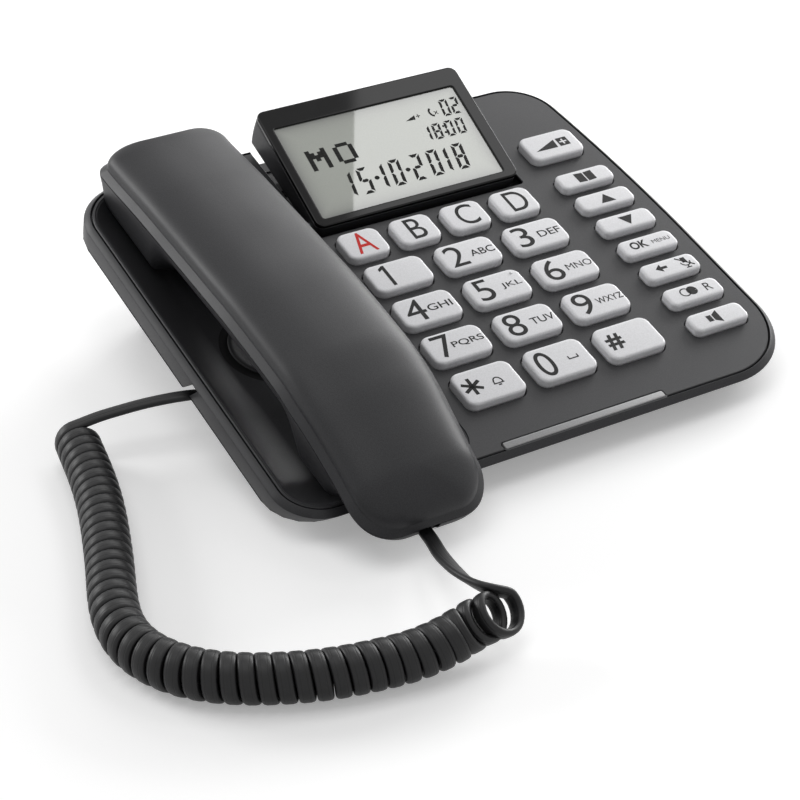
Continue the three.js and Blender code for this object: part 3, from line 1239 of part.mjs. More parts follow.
function cordParts() {
  const toDeck = (x, v, w) => new THREE.Vector3(x, v, w).applyMatrix4(deckMatrix);
  const coil = coilCentre();
  const radius = CORD_DIAMETER / 2;
  const gap = leastGap(coil.points, CORD_DIAMETER);
  console.log(`curly cord: ${COIL_TURNS} curls, least gap to itself ${gap.toFixed(2)} mm`);
  const baseEnd = toDeck(WEDGE_LEFT - PLUG_OUT - GAP, BASE_PLUG_V, -BASE_PLUG_DROP);
  const baseStraight = baseEnd.clone().setX(baseEnd.x - CORD_DIAMETER);
  const coilStart = coil.points[0].clone().addScaledVector(coil.start, -CORD_GAP);
  const beforeCoil = coilStart.clone().addScaledVector(coil.start, -CORD_DIAMETER);
  const handsetEnd = toDeck(HANDSET_PLUG_X, handsetPlugV - GAP, handsetPlugW);
  const handsetStraight = toDeck(HANDSET_PLUG_X, handsetPlugV - GAP - CORD_DIAMETER, handsetPlugW);
  const coilEnd = coil.points.at(-1).clone().addScaledVector(coil.end, CORD_GAP);
  const afterCoil = coilEnd.clone().addScaledVector(coil.end, CORD_DIAMETER);
  const at = ([x, y, z]) => new THREE.Vector3(x, y, z);
  const baseRoute = [baseEnd, baseStraight, ...BASE_LEAD_POINTS.map(at), beforeCoil, coilStart];
  const handsetRoute = [handsetEnd, handsetStraight, ...HANDSET_LEAD_POINTS.map(at), afterCoil, coilEnd];
  return [
    named('handset_cord_coil', tube(coil.points, radius, COIL_SIDES), CORD_BLACK),
    named('cord_lead_base', tube(leadPoints(baseRoute), radius, LEAD_SIDES), CORD_BLACK),
    named('cord_lead_handset', tube(leadPoints(handsetRoute), radius, LEAD_SIDES), CORD_BLACK),
  ];
}

// Steel plate on the floor of the wedge that keeps the base from sliding
function ballast() {
  const low = FOOT_HEIGHT + FLOOR_WALL + GAP;
  return named('ballast_weight', block(BALLAST_X - BALLAST_LENGTH / 2, BALLAST_X + BALLAST_LENGTH / 2,
    BALLAST_Y - BALLAST_WIDTH / 2 + deckY, BALLAST_Y + BALLAST_WIDTH / 2 + deckY,
    low, low + BALLAST_HEIGHT), STEEL);
}

const deck = new THREE.Group();
deck.rotation.x = DECK_TILT;
deck.position.set(0, deckY, DECK_HEIGHT);
deck.add(...baseParts(), ...hookParts(), ...keyMeshes(), displayPod(), ...handsetParts());

const group = new THREE.Group();
group.add(deck, ballast(), ...footMeshes(), ...cordParts());

export default group;
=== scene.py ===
"""A corded desk telephone: its looks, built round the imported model."""
import json
import math

import bpy
import numpy as np
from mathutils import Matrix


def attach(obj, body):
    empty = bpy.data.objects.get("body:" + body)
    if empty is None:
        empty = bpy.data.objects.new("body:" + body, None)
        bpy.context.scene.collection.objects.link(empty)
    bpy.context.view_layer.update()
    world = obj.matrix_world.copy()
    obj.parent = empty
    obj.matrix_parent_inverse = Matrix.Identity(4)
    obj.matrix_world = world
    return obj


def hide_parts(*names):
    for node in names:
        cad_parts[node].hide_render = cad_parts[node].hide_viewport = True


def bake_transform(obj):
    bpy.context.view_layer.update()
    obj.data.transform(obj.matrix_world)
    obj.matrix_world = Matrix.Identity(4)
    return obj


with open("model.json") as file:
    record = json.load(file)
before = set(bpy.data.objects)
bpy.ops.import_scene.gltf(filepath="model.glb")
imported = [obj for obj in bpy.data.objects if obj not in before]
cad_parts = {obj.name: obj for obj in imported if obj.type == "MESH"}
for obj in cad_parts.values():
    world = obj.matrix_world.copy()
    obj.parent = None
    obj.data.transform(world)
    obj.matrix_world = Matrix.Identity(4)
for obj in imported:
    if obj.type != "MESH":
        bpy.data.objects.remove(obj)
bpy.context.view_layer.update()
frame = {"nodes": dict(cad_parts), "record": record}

MM = 0.001

# The deck: x across, v up the slope, w out of its face
DECK_TILT = math.radians(12.92)
DECK_Y = 12.196
DECK_Z = 30.47

# Base
BODY_WIDTH = 198.9
BODY_FRONT = -88.4
BODY_BACK = 84.2
# Front left, front right, back right, back left
BODY_RADII = (16, 30, 20, 22)
RIGHT_SIDE_RADIUS = 820
RIGHT_SIDE_START = -20
SLAB_DEPTH = 9
FRONT_RAKE = 6
CHAMFER = 2.2
CHAMFER_DROP = 1.8
COVER_EDGE = 2.9
CORD_NOTCH = (-21.8, -17.4, -2.1)
NOTCH_SLANT = 0.82
LIGHT_BAR = (8.9, -84.2, 62.5, 2.8)

# Cradle
CRADLE_X = -62.85
CRADLE_HALF_FLOOR = 18.7
CRADLE_HALF_WIDTH = 32.5
CRADLE_FRONT = -84.3
CRADLE_BACK = 80.1
CRADLE_RADII = (12, 18, 10)
CRADLE_FLANKS = (7, 2.5)
CRADLE_DEPTH = 7.5
CRADLE_DEPTH_SHARES = [[-0.5, 0.73], [-0.22, 0.73], [-0.1, 1], [0.5, 1]]
CRADLE_SWEEP = 1.4
CRADLE_FLOOR_RUN = 14
COVER_THICKNESS = 2.2
COVER_BEVEL = 0.3

# The speaker in the cradle: groove by radius and lift over the floor, drawn as a flat ring of painted shade,
# disc by radius and depth, slots drawn as painted shade
SPEAKER_V = -6
SPEAKER_GROOVE = [(18.7, 0.03), (18.4, 0.06), (15.6, 0.06)]
SPEAKER_DISC = [(15.8, -7.9), (15.8, -7.15), (15.65, -6.93), (15.3, -6.85), (14.2, -6.85), (13.9, -7.05),
                (0.05, -7.05)]
SPEAKER_SLOT = (4.2, 1.6, 0.75)
SPEAKER_SLOT_RING = 6.4
SPEAKER_SLOTS = 7

# Handset
HANDSET_HALF_WIDTH = 25
HANDSET_FRONT = -108
HANDSET_BACK = 84.5
HANDSET_LENGTH = HANDSET_BACK - HANDSET_FRONT
HANDSET_RADII = (13.5, 6)
HANDSET_TAPER = [[-108, 0.925], [-92, 0.935], [-78, 0.957], [-56, 1], [84.5, 1]]
HANDSET_ARCH = 18.8
HANDSET_ARCH_SHARES = [
    [-108, 0.22], [-94, 0.47], [-80, 0.69], [-64, 0.9], [-48, 1],
    [-20, 0.963], [5.9, 0.85], [47, 0.64], [84.5, 0.43],
]
HANDSET_CHAMFER = 2.2
HANDSET_CROWN = 8.6
HANDSET_CROWN_RUNS = (11, 5)
HANDSET_FULLNESS = 0.86
# The rows under the chamfer's edge: share of the width, draw at the front and the back, height
HANDSET_LIP = [(0.964, 0.9, 0.9, 0.3), (1, 0, 0, 0.15), (1, 0, 0, 0.32), (0.994, 0.08, 0.08, 0.55)]
HANDLE_DEPTH = 15
CUP_FOOT_GAP = 0.5
DEPTH_LAYERS = [0, 0.35, 0.65, 0.86, 1]
CUP_INSETS = [0, 0.012, 0.03, 0.1, 0.34]
HANDLE_INSETS = [0, 0.08, 0.22, 0.42, 0.68]
END_INSETS = [0, 0.14, 0.38, 0.64, 1]
END_DEPTHS = (3.4, 7)
HANDSET_EDGE = (1, 2.35, 5.65, 9)
SIDE_STATIONS = 120
CORD_HOLE_X = -64.5
NOTCH_HALF = 3.9
WELL_EDGES = (-107.4, -104.9, -97)
PLUG_BLOCKS = [(7, -103.4, -92, -1.7, 2.9), (5.6, -104.2, -98, -1.1, 3.4)]

# Keys
KEY_HEIGHT = 2.6
KEY_GAP = 0.35
KEY_PROFILE = [(0, -2.7), (0, 1.55), (0.05, 1.95), (0.22, 2.28), (0.5, 2.5), (0.85, 2.58), (1.3, KEY_HEIGHT)]
KEY_CORNER_SHARE = 0.75
# Blocks of keys: labels by row, the first key's middle x and v, pitch across, pitch down and its growth, and
# each key's width, depth and corner
KEY_BLOCKS = [
    (["1 2 3", "4 5 6", "7 8 9"], (-12.85, 0), (28, 19.3, 0), (22.5, 14, 3.4)),
    (["star 0 hash"], (-12.85, -58.75), (28, 0, 0), (22.5, 15.7, 3.4)),
    (["a b c d"], (-16.26, 18.81), (20.75, 0, 0), (16.1, 14.1, 3.4)),
    (["book", "up", "down", "ok", "mute", "redial", "speaker"], (78.29, 21.63), (0, 13.45, 0.07),
     (22.5, 8.7, 2.6)),
    (["volume"], (77.4, 42.8), (0, 0, 0), (22.5, 14.2, 3.4)),
]
KEY_PIP = (8.1, 4.6, 0.65, 0.5)

# Display pod
POD_TILT = math.radians(15.53)
POD_X = 14.69
POD_V = 31.73
POD_WIDTH = 83.26
POD_LENGTH = 52.88
POD_RADIUS = 3.2
POD_SEAM = -1.75
LCD_DEPTH = -0.6
POD_DEPTHS = [[0, 9.5], [15, 9.6], [49.68, 14.1], [52.88, 2.8]]
LCD_WINDOW = (3.42, 78.29, 3.02, 44.41)
RECESS = (29.5, 44.5, 79, -8, -10.6)
RECESS_HALF = POD_WIDTH / 2 + 0.7
BACK_GAP_FLOOR = -SLAB_DEPTH + 0.55

# The handset cord
CORD_WIDTH = 4.7
CORD_THICKNESS = 2.4
COIL_DIAMETER = 14.7
COIL_TURNS = 46
COIL_LIFT = 0.1
COIL_STEPS = 26
COIL_START = 90
COIL_END = 15
COIL_LOOSE_TURNS = 5
COIL_LOOSENESS = 0.12
COIL_LEAN = (0.45, -0.6, 0.66)
COIL_LEAN_TURNS = (4.5, 3.6)
STRAIGHT = 3.4
LEAD_STATIONS = 90
BASE_CORD_END = (-87.3, -14, -13.3)
HANDSET_CORD_END = (CORD_HOLE_X, -106, 0.6)
BASE_LEAD_POINTS = [
    (-95, 0.3, 16.6), (-99.5, 0, 17.6), (-104, 1.3, 17.5), (-109, 3.1, 16.9), (-115, 5.1, 16),
    (-121, 6.6, 15), (-127, 7.9, 14.2),
]
COIL_POINTS = [
    (-135.3, 7.5), (-136.4, 2.2), (-139.4, -14.2), (-143.6, -30.5), (-148.7, -45.5), (-153.8, -59.7),
    (-158.4, -71), (-162.2, -82), (-163.9, -92.6), (-162.5, -102.6), (-158.4, -111.6),
    (-152.4, -119), (-144.8, -125), (-137.4, -129.4), (-129.8, -133), (-122.6, -135.8),
    (-115.2, -137.9), (-108, -139.4), (-100.9, -140.6), (-95.9, -141.2, 7.8), (-90.3, -141.7, 8.5),
    (-84.1, -141.4, 9.3), (-78.3, -140.5, 10.3), (-72.2, -140.6, 11.1), (-68, -141.6, 11.6),
]
HANDSET_LEAD_POINTS = [
    (-66.4, -100, 8.4), (-69, -107.2, 10.4), (-71, -116.6, 12.6), (-71.8, -125.1, 14.1), (-71, -131.5, 15.2),
    (-69.8, -135.4, 15.9),
]

# The photograph's camera: metres, degrees, and millimetres for its sensor and lens
CAMERA_PLACE = (-0.3412, -0.54513, 0.38713)
CAMERA_TURN = (57.92, 0, -30.56)
SENSOR = 36
LENS = 97.2

# The studio: lamps by place in metres, turn about the vertical in degrees (0 aims at the object), size, watts
WORLD_LEVEL = 0.32
FLOOR_LIFT = 0.28
FLOOR_SIZE = 8
LAMP_AIM = (0, 0, 0.03)
LAMPS = [
    ("back_right_lamp", (1.1, 1.24, 1.12), 0, (1.1, 1.0), 8),
    ("right_lamp", (1.25, 0.5, 0.45), 0, (0.9, 0.5), 13),
    ("display_lamp", (0.803, 0.077, 1.2), -18.4, (0.5, 0.36), 1.4),
    ("upper_lamp", (-0.3, 0.1, 1.7), 0, (1.2, 1.2), 6),
    ("left_lamp", (-0.72, 0.9, 0.45), 0, (0.5, 0.3), 5),
]

# Printed signs in each key's own millimetres: text in a box x0, x1, y0, y1, some with a weight, filled shapes
# (an outline inside another is a hole), strokes from, to and width, arcs of a middle, radius, width, start, end
INK_LIFT = 0.03
LETTERING = {
    "2": [("2", (-8.6, -1.7, -5, 5.4)), ("ABC", (0.4, 10, -2, 1.3), 0.008)],
    "3": [("3", (-8.5, -2.2, -4.9, 5.5)), ("DEF", (0.6, 9.7, -2, 1.3), 0.008)],
    "4": [("4", (-8.4, -0.9, -5, 5.4)), ("GHI", (-0.1, 9.2, -1.9, 1.3), 0.008)],
    "5": [("5", (-8.5, -2.2, -4.9, 5.5)), ("JKL", (1.4, 9.4, -2, 1.1), 0.004)],
    "6": [("6", (-8.7, -1.8, -5, 5.4)), ("MNO", (0, 10.3, -1.9, 1.2))],
    "7": [("7", (-8, -1.2, -4.8, 5.7)), ("PQRS", (-1.9, 10.1, -1.9, 1.3), 0.008)],
    "8": [("8", (-8.6, -1.8, -5.1, 5.5)), ("TUV", (1, 10.2, -2, 1.2), 0.008)],
    "9": [("9", (-8.6, -1.7, -5, 5.4)), ("WXYZ", (-0.2, 10.5, -1.8, 1.1), 0.008)],
    "0": [("0", (-9, -2.7, -5.9, 5.6))],
    "hash": [("#", (-9, -2.6, -3.6, 3.8), 0.03)],
    "a": [("A", (-3.9, 3.7, -5.1, 5.6))],
    "b": [("B", (-2.6, 3.4, -5.1, 5.5))],
    "c": [("C", (-3.4, 4.2, -5.3, 5.5))],
    "d": [("D", (-3, 4.7, -5.2, 5.4))],
    "ok": [("OK", (-7.4, -0.3, -1.5, 2.4), 0.03), ("MENU", (1.6, 9.1, -0.9, 0.9))],
    "redial": [("R", (4.7, 7.6, -1.6, 2.2))],
}
SHAPES = {
    "1": [[[(-3.3, -5), (-3.3, 5.5), (-4.2, 5.5), (-6, 4.3), (-6, 2.9), (-4.6, 3.8), (-4.6, -5)]]],
    "volume": [[[(-8.1, -2.2), (1.4, -2.4), (1.8, 2.1)]],
               [[(2.7, -2.3), (7.2, -2.3), (7.2, 2.3), (2.7, 2.3)],
                [(4.6, -1.5), (5.3, -1.5), (5.3, -0.35), (6.5, -0.35), (6.5, 0.35), (5.3, 0.35), (5.3, 1.5),
                 (4.6, 1.5), (4.6, 0.35), (3.4, 0.35), (3.4, -0.35), (4.6, -0.35)]]],
    "book": [[[(-3.7, -2.4), (-0.2, -2.7), (-0.2, 2.3), (-3.7, 2.6)]],
             [[(0.3, -2.7), (3.8, -2.4), (3.8, 2.6), (0.3, 2.3)]]],
    "up": [[[(-2.9, -2.3), (3.3, -2.3), (0.3, 2.3)]]],
    "down": [[[(0.5, -2.5), (3.6, 2.3), (-2.4, 2.3)]]],
    "mute": [[[(-6.1, 0.5), (-3.6, -1.5), (-3.6, -0.1), (-1.3, -0.1), (-1.3, 1.1), (-3.6, 1.1), (-3.6, 2.5)]]],
    "speaker": [[[(-4.4, -1.5), (-2.4, -1.5), (-2.4, 1.5), (-4.4, 1.5)]],
                [[(-1.9, -1.4), (0.7, -3), (0.7, 3), (-1.9, 1.4)]]],
}
STROKES = {
    "star": [((-6.2, 4), (-6.2, -3.8), 1.3), ((-9.5, 2), (-2.9, -1.8), 1.3), ((-9.5, -1.8), (-2.9, 2), 1.3),
             ((1, -1.7), (5, -1.7), 0.5), ((2.4, -2.5), (3.6, -2.5), 0.6)],
    "0": [((3, 0.3), (3, -1.3), 0.5), ((2.75, -1.1), (6.75, -1.1), 0.5), ((6.5, -1.3), (6.5, 0.3), 0.5)],
    "mute": [((3.5, 3), (9.1, -2.1), 0.6), ((6.3, -1.6), (6.3, -2.6), 0.6), ((5.2, -2.7), (7.4, -2.7), 0.5),
             ((6.3, 2.6), (6.3, 0), 1.9)],
}
ARCS = {
    "star": [((3, -0.4), 1.35, 0.5, 0, 180), ((3, -1), 1.6, 0.5, -20, 40), ((3, -1), 1.6, 0.5, 140, 200)],
    "mute": [((6.3, 0.3), 1.9, 0.5, 180, 360)],
    "redial": [((-3.4, 0.5), 1.85, 0.5, 0, 360), ((-0.5, 0.5), 1.05, 2.1, 0, 360)],
}

# The display's figures: x from the pod's middle, height up its face, cell width, height and stroke
DISPLAY_SLANT = 0.13
DISPLAY_ROWS = [
    (8.6, 4.5, 11.3, 1.3, [("1", -25.5), ("5", -18.5), ("1", -12.4), ("0", -5.5), ("2", 3.1), ("0", 10.3),
                            ("1", 14.1), ("8", 21.1)]),
    (23.4, 3.4, 7, 0.95, [("1", 14.4), ("8", 19), ("0", 24.2), ("0", 28.8)]),
    (32.3, 3.4, 7.5, 0.95, [("0", 27), ("2", 31.2)]),
]
DISPLAY_DOTS = [(-10.8, 14.2, 0.85), (2, 14.2, 0.85), (24, 25.6, 0.45), (24.4, 28.4, 0.45)]
SEGMENTS = {"0": "abcdef", "1": "bc", "2": "abged", "5": "afgcd", "8": "abcdefg"}
DAY_LETTERS = [
    (-31.7, ["X...X", "XX.XX", "XXXXX", "X.X.X", "X...X", "X...X", "X...X"]),
    (-20.9, [".XXX.", "X...X", "X...X", "X...X", "X...X", "X...X", ".XXX."]),
]
DAY_BASE = 23.1
DAY_PIXEL = (1.52, 1.26)


def on_deck(points):
    """Deck coordinates (x, v, w) in millimetres turned by the deck's slope into the table's frame."""
    p = np.asarray(points, float)
    c, s = math.cos(DECK_TILT), math.sin(DECK_TILT)
    return np.stack([p[..., 0], DECK_Y + p[..., 1] * c - p[..., 2] * s,
                     DECK_Z + p[..., 1] * s + p[..., 2] * c], -1)


def on_pod(points):
    """Pod coordinates (x from its middle, a up the face, b out of it) turned into deck coordinates."""
    p = np.asarray(points, float)
    c, s = math.cos(POD_TILT), math.sin(POD_TILT)
    return np.stack([POD_X + p[..., 0], POD_V + p[..., 1] * c - p[..., 2] * s,
                     KEY_HEIGHT + p[..., 1] * s + p[..., 2] * c], -1)


def linked(name, data):
    """A new object in the scene."""
    obj = bpy.data.objects.new(name, data)
    bpy.context.scene.collection.objects.link(obj)
    return obj


def camera():
    """The photograph's camera: about 0.75 m away, to the front left, looking down."""
    data = bpy.data.cameras.new("photo_camera")
    data.sensor_width, data.lens, data.clip_start = SENSOR, LENS, 0.01
    obj = linked("photo_camera", data)
    obj.location = CAMERA_PLACE
    obj.rotation_euler = [math.radians(a) for a in CAMERA_TURN]
    bpy.context.scene.camera = obj


def linear(code):
    """An sRGB hex value as the linear colour that a shader takes."""
    parts = [int(code[i:i + 2], 16) / 255 for i in (1, 3, 5)]
    return tuple(c / 12.92 if c <= 0.04045 else ((c + 0.055) / 1.055) ** 2.4 for c in parts) + (1,)


def node(tree, kind, settings=None, **links):
    """Adds a node; a link or number goes to the socket of its name, _ for a space, or of its number, as iN.

    A node given as a link stands for its first output.
    """
    made = tree.nodes.new(kind)
    for key, value in (settings or {}).items():
        setattr(made, key, value)
    for key, value in links.items():
        number = key[0] == "i" and key[1:].isdigit()
        socket = made.inputs[int(key[1:])] if number else made.inputs[key.replace("_", " ")]
        if isinstance(value, bpy.types.Node):
            value = value.outputs[0]
        if isinstance(value, bpy.types.NodeSocket):
            tree.links.new(value, socket)
        else:
            socket.default_value = value
    return made


def new_material(name):
    """A material with an empty tree."""
    mat = bpy.data.materials.new(name)
    mat.use_nodes = True
    mat.node_tree.nodes.clear()
    return mat, mat.node_tree


def patterned(name):
    """A new material, its tree and the place on the object, in metres, that its patterns follow."""
    mat, tree = new_material(name)
    return mat, tree, node(tree, "ShaderNodeTexCoord").outputs["Object"]


def finish(mat, colour, gloss, rough, height, depth, **fixed):
    """The shader of a material: one pattern gives roughness over a range, one the bump with its depth in mm."""
    tree = mat.node_tree
    low, high = rough
    rough = node(tree, "ShaderNodeMapRange", Value=gloss, From_Min=0.3, From_Max=0.7, To_Min=low, To_Max=high)
    bump = node(tree, "ShaderNodeBump", Strength=1.0, Distance=depth * MM, Height=height)
    shader = node(tree, "ShaderNodeBsdfPrincipled", Base_Color=colour, Roughness=rough, Normal=bump, **fixed)
    node(tree, "ShaderNodeOutputMaterial", Surface=shader)
    return mat


def shades(tree, factor, dark, light, low=0.3, high=0.7):
    """Two sRGB colours mixed by a pattern, stretched from its usual range."""
    share = node(tree, "ShaderNodeMapRange", Value=factor, From_Min=low, From_Max=high)
    mix = node(tree, "ShaderNodeMix", {"data_type": "RGBA"}, i0=share, i6=linear(dark), i7=linear(light))
    return mix.outputs[2]


def surface(name, fine, dark, light, rough, depth, slow=None, **fixed):
    """A material from noise, each with its width in mm and its detail: a fine one for colour and height, and a
    slow one for gloss."""
    mat, tree, where = patterned(name)
    grain, cloud = [node(tree, "ShaderNodeTexNoise", Vector=where, Scale=1 / (width * MM), Detail=detail)
                    for width, detail in (fine, slow or fine)]
    return finish(mat, shades(tree, grain, dark, light), cloud, rough, grain, depth, **fixed)


def spark_eroded_abs(name, dark, light, rough, specular):
    """ABS moulded in a spark-eroded tool: a fine dry grain that breaks up every highlight.

    The real grain is about 0.1 mm; it is drawn at 0.32 mm, or the render would lose it.
    Slow clouds 30 mm wide, from the melt's flow, move the gloss a little.
    """
    return surface(name, (0.32, 2.0), dark, light, (rough - 0.03, rough + 0.03), 0.022, (30, 3.0),
                   Specular_IOR_Level=specular)


def pad_print(name, dark, light, rough=0.42):
    """Two-part ink laid on by a silicone pad: dense and a little dry, uneven by a few percent over 0.6 mm."""
    return surface(name, (0.6, 1.0), dark, light, (rough, rough + 0.06), 0.004, Specular_IOR_Level=0.12)


def lacquered_abs(name):
    """ABS keys sprayed with silver-grey lacquer: flakes of 0.3 mm that sparkle, under a smooth clear coat.

    Real flakes are 0.03 mm; these are as coarse as the render needs. The coat has an orange peel 1.2 mm wide.
    """
    mat, tree, where = patterned(name)
    flake = node(tree, "ShaderNodeTexVoronoi", Vector=where, Scale=1 / (0.3 * MM)).outputs["Color"]
    tone = node(tree, "ShaderNodeSeparateColor", Color=flake)
    peel = node(tree, "ShaderNodeTexNoise", Vector=where, Scale=1 / (1.2 * MM), Detail=1.0)
    return finish(mat, shades(tree, tone, "#d8d8da", "#e3e3e6", 0, 1), peel, (0.36, 0.42), peel, 0.006,
                  Specular_IOR_Level=0.35, Coat_Weight=0.3, Coat_Roughness=0.15)


def liquid_crystal_panel(name):
    """A reflective liquid crystal panel: grey-green glass over foil, with painted shade all round its edge
    where the frame's shadow would fall.

    The painted shade is 1 - 0.9 exp(-distance / 2.4 mm) from the window's edge, and the foil has a grain of
    0.25 mm.
    """
    mat, tree, where = patterned(name)
    foil = node(tree, "ShaderNodeTexNoise", Vector=where, Scale=1 / (0.25 * MM), Detail=1.0)
    shade = node(tree, "ShaderNodeAttribute", {"attribute_name": "edge_distance"}).outputs["Fac"]
    for operation, number in (("DIVIDE", -2.4), ("EXPONENT", 0), ("MULTIPLY", 0.9)):
        shade = node(tree, "ShaderNodeMath", {"operation": operation}, i0=shade, i1=number)
    bare = shades(tree, foil, "#969a90", "#9ca096")
    # Painted shade: the colour darkens towards #1a1b18 near the window's edge
    mix = node(tree, "ShaderNodeMix", {"data_type": "RGBA"}, i0=shade, i6=bare, i7=linear("#1a1b18"))
    return finish(mat, mix.outputs[2], foil, (0.35, 0.4), foil, 0.001, Specular_IOR_Level=0.3, Coat_Weight=1.0,
                  Coat_Roughness=0.02, Coat_IOR=1.95)


def extruded_vinyl(name):
    """Soft PVC jacket drawn through a die: satin, with two fine grooves between its wires, darkened with
    painted shade, and a dusty grain.

    The grooves follow the cord's own attribute, -1 to 1 over its width; they lie at 0.42 and are 0.13 wide.
    """
    mat, tree, where = patterned(name)
    grain = node(tree, "ShaderNodeTexNoise", Vector=where, Scale=1 / (0.4 * MM), Detail=2.0)
    off = node(tree, "ShaderNodeAttribute", {"attribute_name": "across"}).outputs["Fac"]
    for operation, number in (("ABSOLUTE", 0), ("SUBTRACT", 0.42), ("ABSOLUTE", 0)):
        off = node(tree, "ShaderNodeMath", {"operation": operation}, i0=off, i1=number)
    ridge = node(tree, "ShaderNodeMapRange", {"interpolation_type": "SMOOTHSTEP"}, Value=off, From_Min=0.0,
                 From_Max=0.13)
    height = node(tree, "ShaderNodeMath", {"operation": "MULTIPLY_ADD"}, i0=grain, i1=0.06, i2=ridge)
    # The colour follows the height, so the grooves carry painted shade as well as their bump
    return finish(mat, shades(tree, height, "#0f0f10", "#1a1a1b", 0, 1), grain, (0.4, 0.46), height, 0.05,
                  Specular_IOR_Level=0.3)


def glass_epoxy_board(name):
    """Woven glass and epoxy under green solder resist: the weave's 0.8 mm squares show through the lacquer."""
    mat, tree, where = patterned(name)
    weave = node(tree, "ShaderNodeTexChecker", Vector=where, Scale=1 / (0.8 * MM), Color1=linear("#1c5233"),
                 Color2=linear("#236040"))
    fac = weave.outputs["Fac"]
    return finish(mat, weave, fac, (0.35, 0.35), fac, 0.01, Coat_Weight=0.4, Coat_Roughness=0.15)


def zinc_plated_steel(name):
    """Rolled sheet steel, zinc plated: grey metal with streaks 0.4 mm wide along the rolling direction."""
    mat, tree, where = patterned(name)
    rolled = node(tree, "ShaderNodeMapping", Vector=where, Scale=(1, 0.05, 1))
    streak = node(tree, "ShaderNodeTexNoise", Vector=rolled, Scale=1 / (0.4 * MM), Detail=2.0)
    colour = shades(tree, streak, "#8f9296", "#abaeb2")
    return finish(mat, colour, streak, (0.3, 0.42), streak, 0.008, Metallic=1.0)


def along(table, x):
    """Monotone cubic through [place, value] rows, flat outside: slopes are harmonic means of the steps."""
    places, values = np.array(table, float).T
    x = np.clip(np.asarray(x, float), places[0], places[-1])
    step = np.diff(values) / np.diff(places)
    slope = np.zeros_like(values)
    product = step[:-1] * step[1:]
    total = np.where(product > 0, step[:-1] + step[1:], 1)
    slope[1:-1] = np.where(product > 0, 2 * product / total, 0)
    i = np.clip(np.searchsorted(places, x, side="right") - 1, 0, len(places) - 2)
    span = places[i + 1] - places[i]
    t = (x - places[i]) / span
    return ((2 * t ** 3 - 3 * t ** 2 + 1) * values[i] + (t ** 3 - 2 * t ** 2 + t) * span * slope[i]
            + (3 * t ** 2 - 2 * t ** 3) * values[i + 1] + (t ** 3 - t ** 2) * span * slope[i + 1])


def arc(cx, cy, radius, start, end, steps):
    """Points of an arc in the plane, steps + 1 of them."""
    a = np.linspace(start, end, steps + 1)
    return np.stack([cx + radius * np.cos(a), cy + radius * np.sin(a)], -1)


def round_rect(width, depth, radius, steps=8, cx=0.0, cy=0.0):
    """Rectangle with round corners, counter-clockwise."""
    hx, hy, quarter = width / 2 - radius, depth / 2 - radius, math.pi / 2
    corners = [(1, 1), (-1, 1), (-1, -1), (1, -1)]
    return np.vstack([arc(cx + sx * hx, cy + sy * hy, radius, k * quarter, (k + 1) * quarter, steps)
                      for k, (sx, sy) in enumerate(corners)])


def at(outline, w):
    """A plane outline lifted to height w."""
    return np.column_stack([outline, np.full(len(outline), float(w))])


def grid_faces(rows, cols, closed=True):
    """Quads between neighbours of a rows by cols grid, whose rows may close into rings."""
    a, b = np.meshgrid(np.arange(rows - 1), np.arange(cols if closed else cols - 1), indexing="ij")
    a, b = a.ravel(), b.ravel()
    right = (b + 1) % cols
    return np.stack([a * cols + b, a * cols + right, (a + 1) * cols + right, (a + 1) * cols + b], -1)


def tube(rings):
    """Rings of equal length as one stack, and the quads between them."""
    rings = np.stack(rings)
    return rings, grid_faces(*rings.shape[:2])


def ladder(first, count):
    """Quads across a ring whose second half mirrors its first, facing the way the ring turns."""
    i = np.arange(count // 2 - 1)
    far = count - 1 - i
    return np.stack([i, i + 1, far - 1, far], -1)[:, ::-1] + first


def solid(name, points, faces, material, sharp=180):
    """One smooth mesh in the table's frame from points in millimetres; edges over sharp degrees stay crisp."""
    mesh = bpy.data.meshes.new(name)
    p = np.asarray(points, float).reshape(-1, 3) * MM
    mesh.from_pydata(p.tolist(), [], [[int(k) for k in f] for f in faces])
    mesh.update()
    mesh.validate()
    mesh.polygons.foreach_set("use_smooth", [True] * len(mesh.polygons))
    mesh.set_sharp_from_angle(angle=math.radians(sharp))
    mesh.materials.append(material)
    return linked(name, mesh)


def piece(name, points, faces, slot, body="base", replaced=(), sharp=35, look=None):
    """A visible piece from deck coordinates on its body; its look is its slot's unless another is named."""
    obj = solid(name, on_deck(points), faces, MATERIALS[look or slot], sharp)
    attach(obj, body)
    if replaced:
        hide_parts(*replaced)
    return obj


def attribute(obj, name, values):
    """A number at each point of a mesh, for its material."""
    obj.data.attributes.new(name, "FLOAT", "POINT").data.foreach_set("value", np.ravel(values))


def gather(parts):
    """Several (points, faces) in one: the faces of each are numbered on."""
    points, faces, first = [], [], 0
    for p, f in parts:
        p = np.asarray(p, float).reshape(-1, 3)
        points.append(p)
        faces += [[int(k) + first for k in face] for face in f]
        first += len(p)
    return np.vstack(points), faces


def plate(outlines, low, high, bevel=0.0, rounds=2):
    """A flat sheet with holes: outlines filled by Blender's curve fill and given a rounded edge."""
    curve = bpy.data.curves.new("outline", "CURVE")
    curve.dimensions = "2D"
    curve.fill_mode = "BOTH"
    curve.extrude = (high - low) / 2 - bevel
    curve.bevel_depth = bevel
    curve.bevel_resolution = rounds
    curve.offset = -bevel
    for outline in outlines:
        spline = curve.splines.new("POLY")
        spline.points.add(len(outline) - 1)
        spline.points.foreach_set("co", np.column_stack(
            [outline, np.zeros(len(outline)), np.ones(len(outline))]).ravel())
        spline.use_cyclic_u = True
    return as_arrays(curve, (low + high) / 2)


def arrays(mesh):
    """Points and faces of a mesh."""
    p = np.zeros(len(mesh.vertices) * 3)
    mesh.vertices.foreach_get("co", p)
    return p.reshape(-1, 3), [list(f.vertices) for f in mesh.polygons]


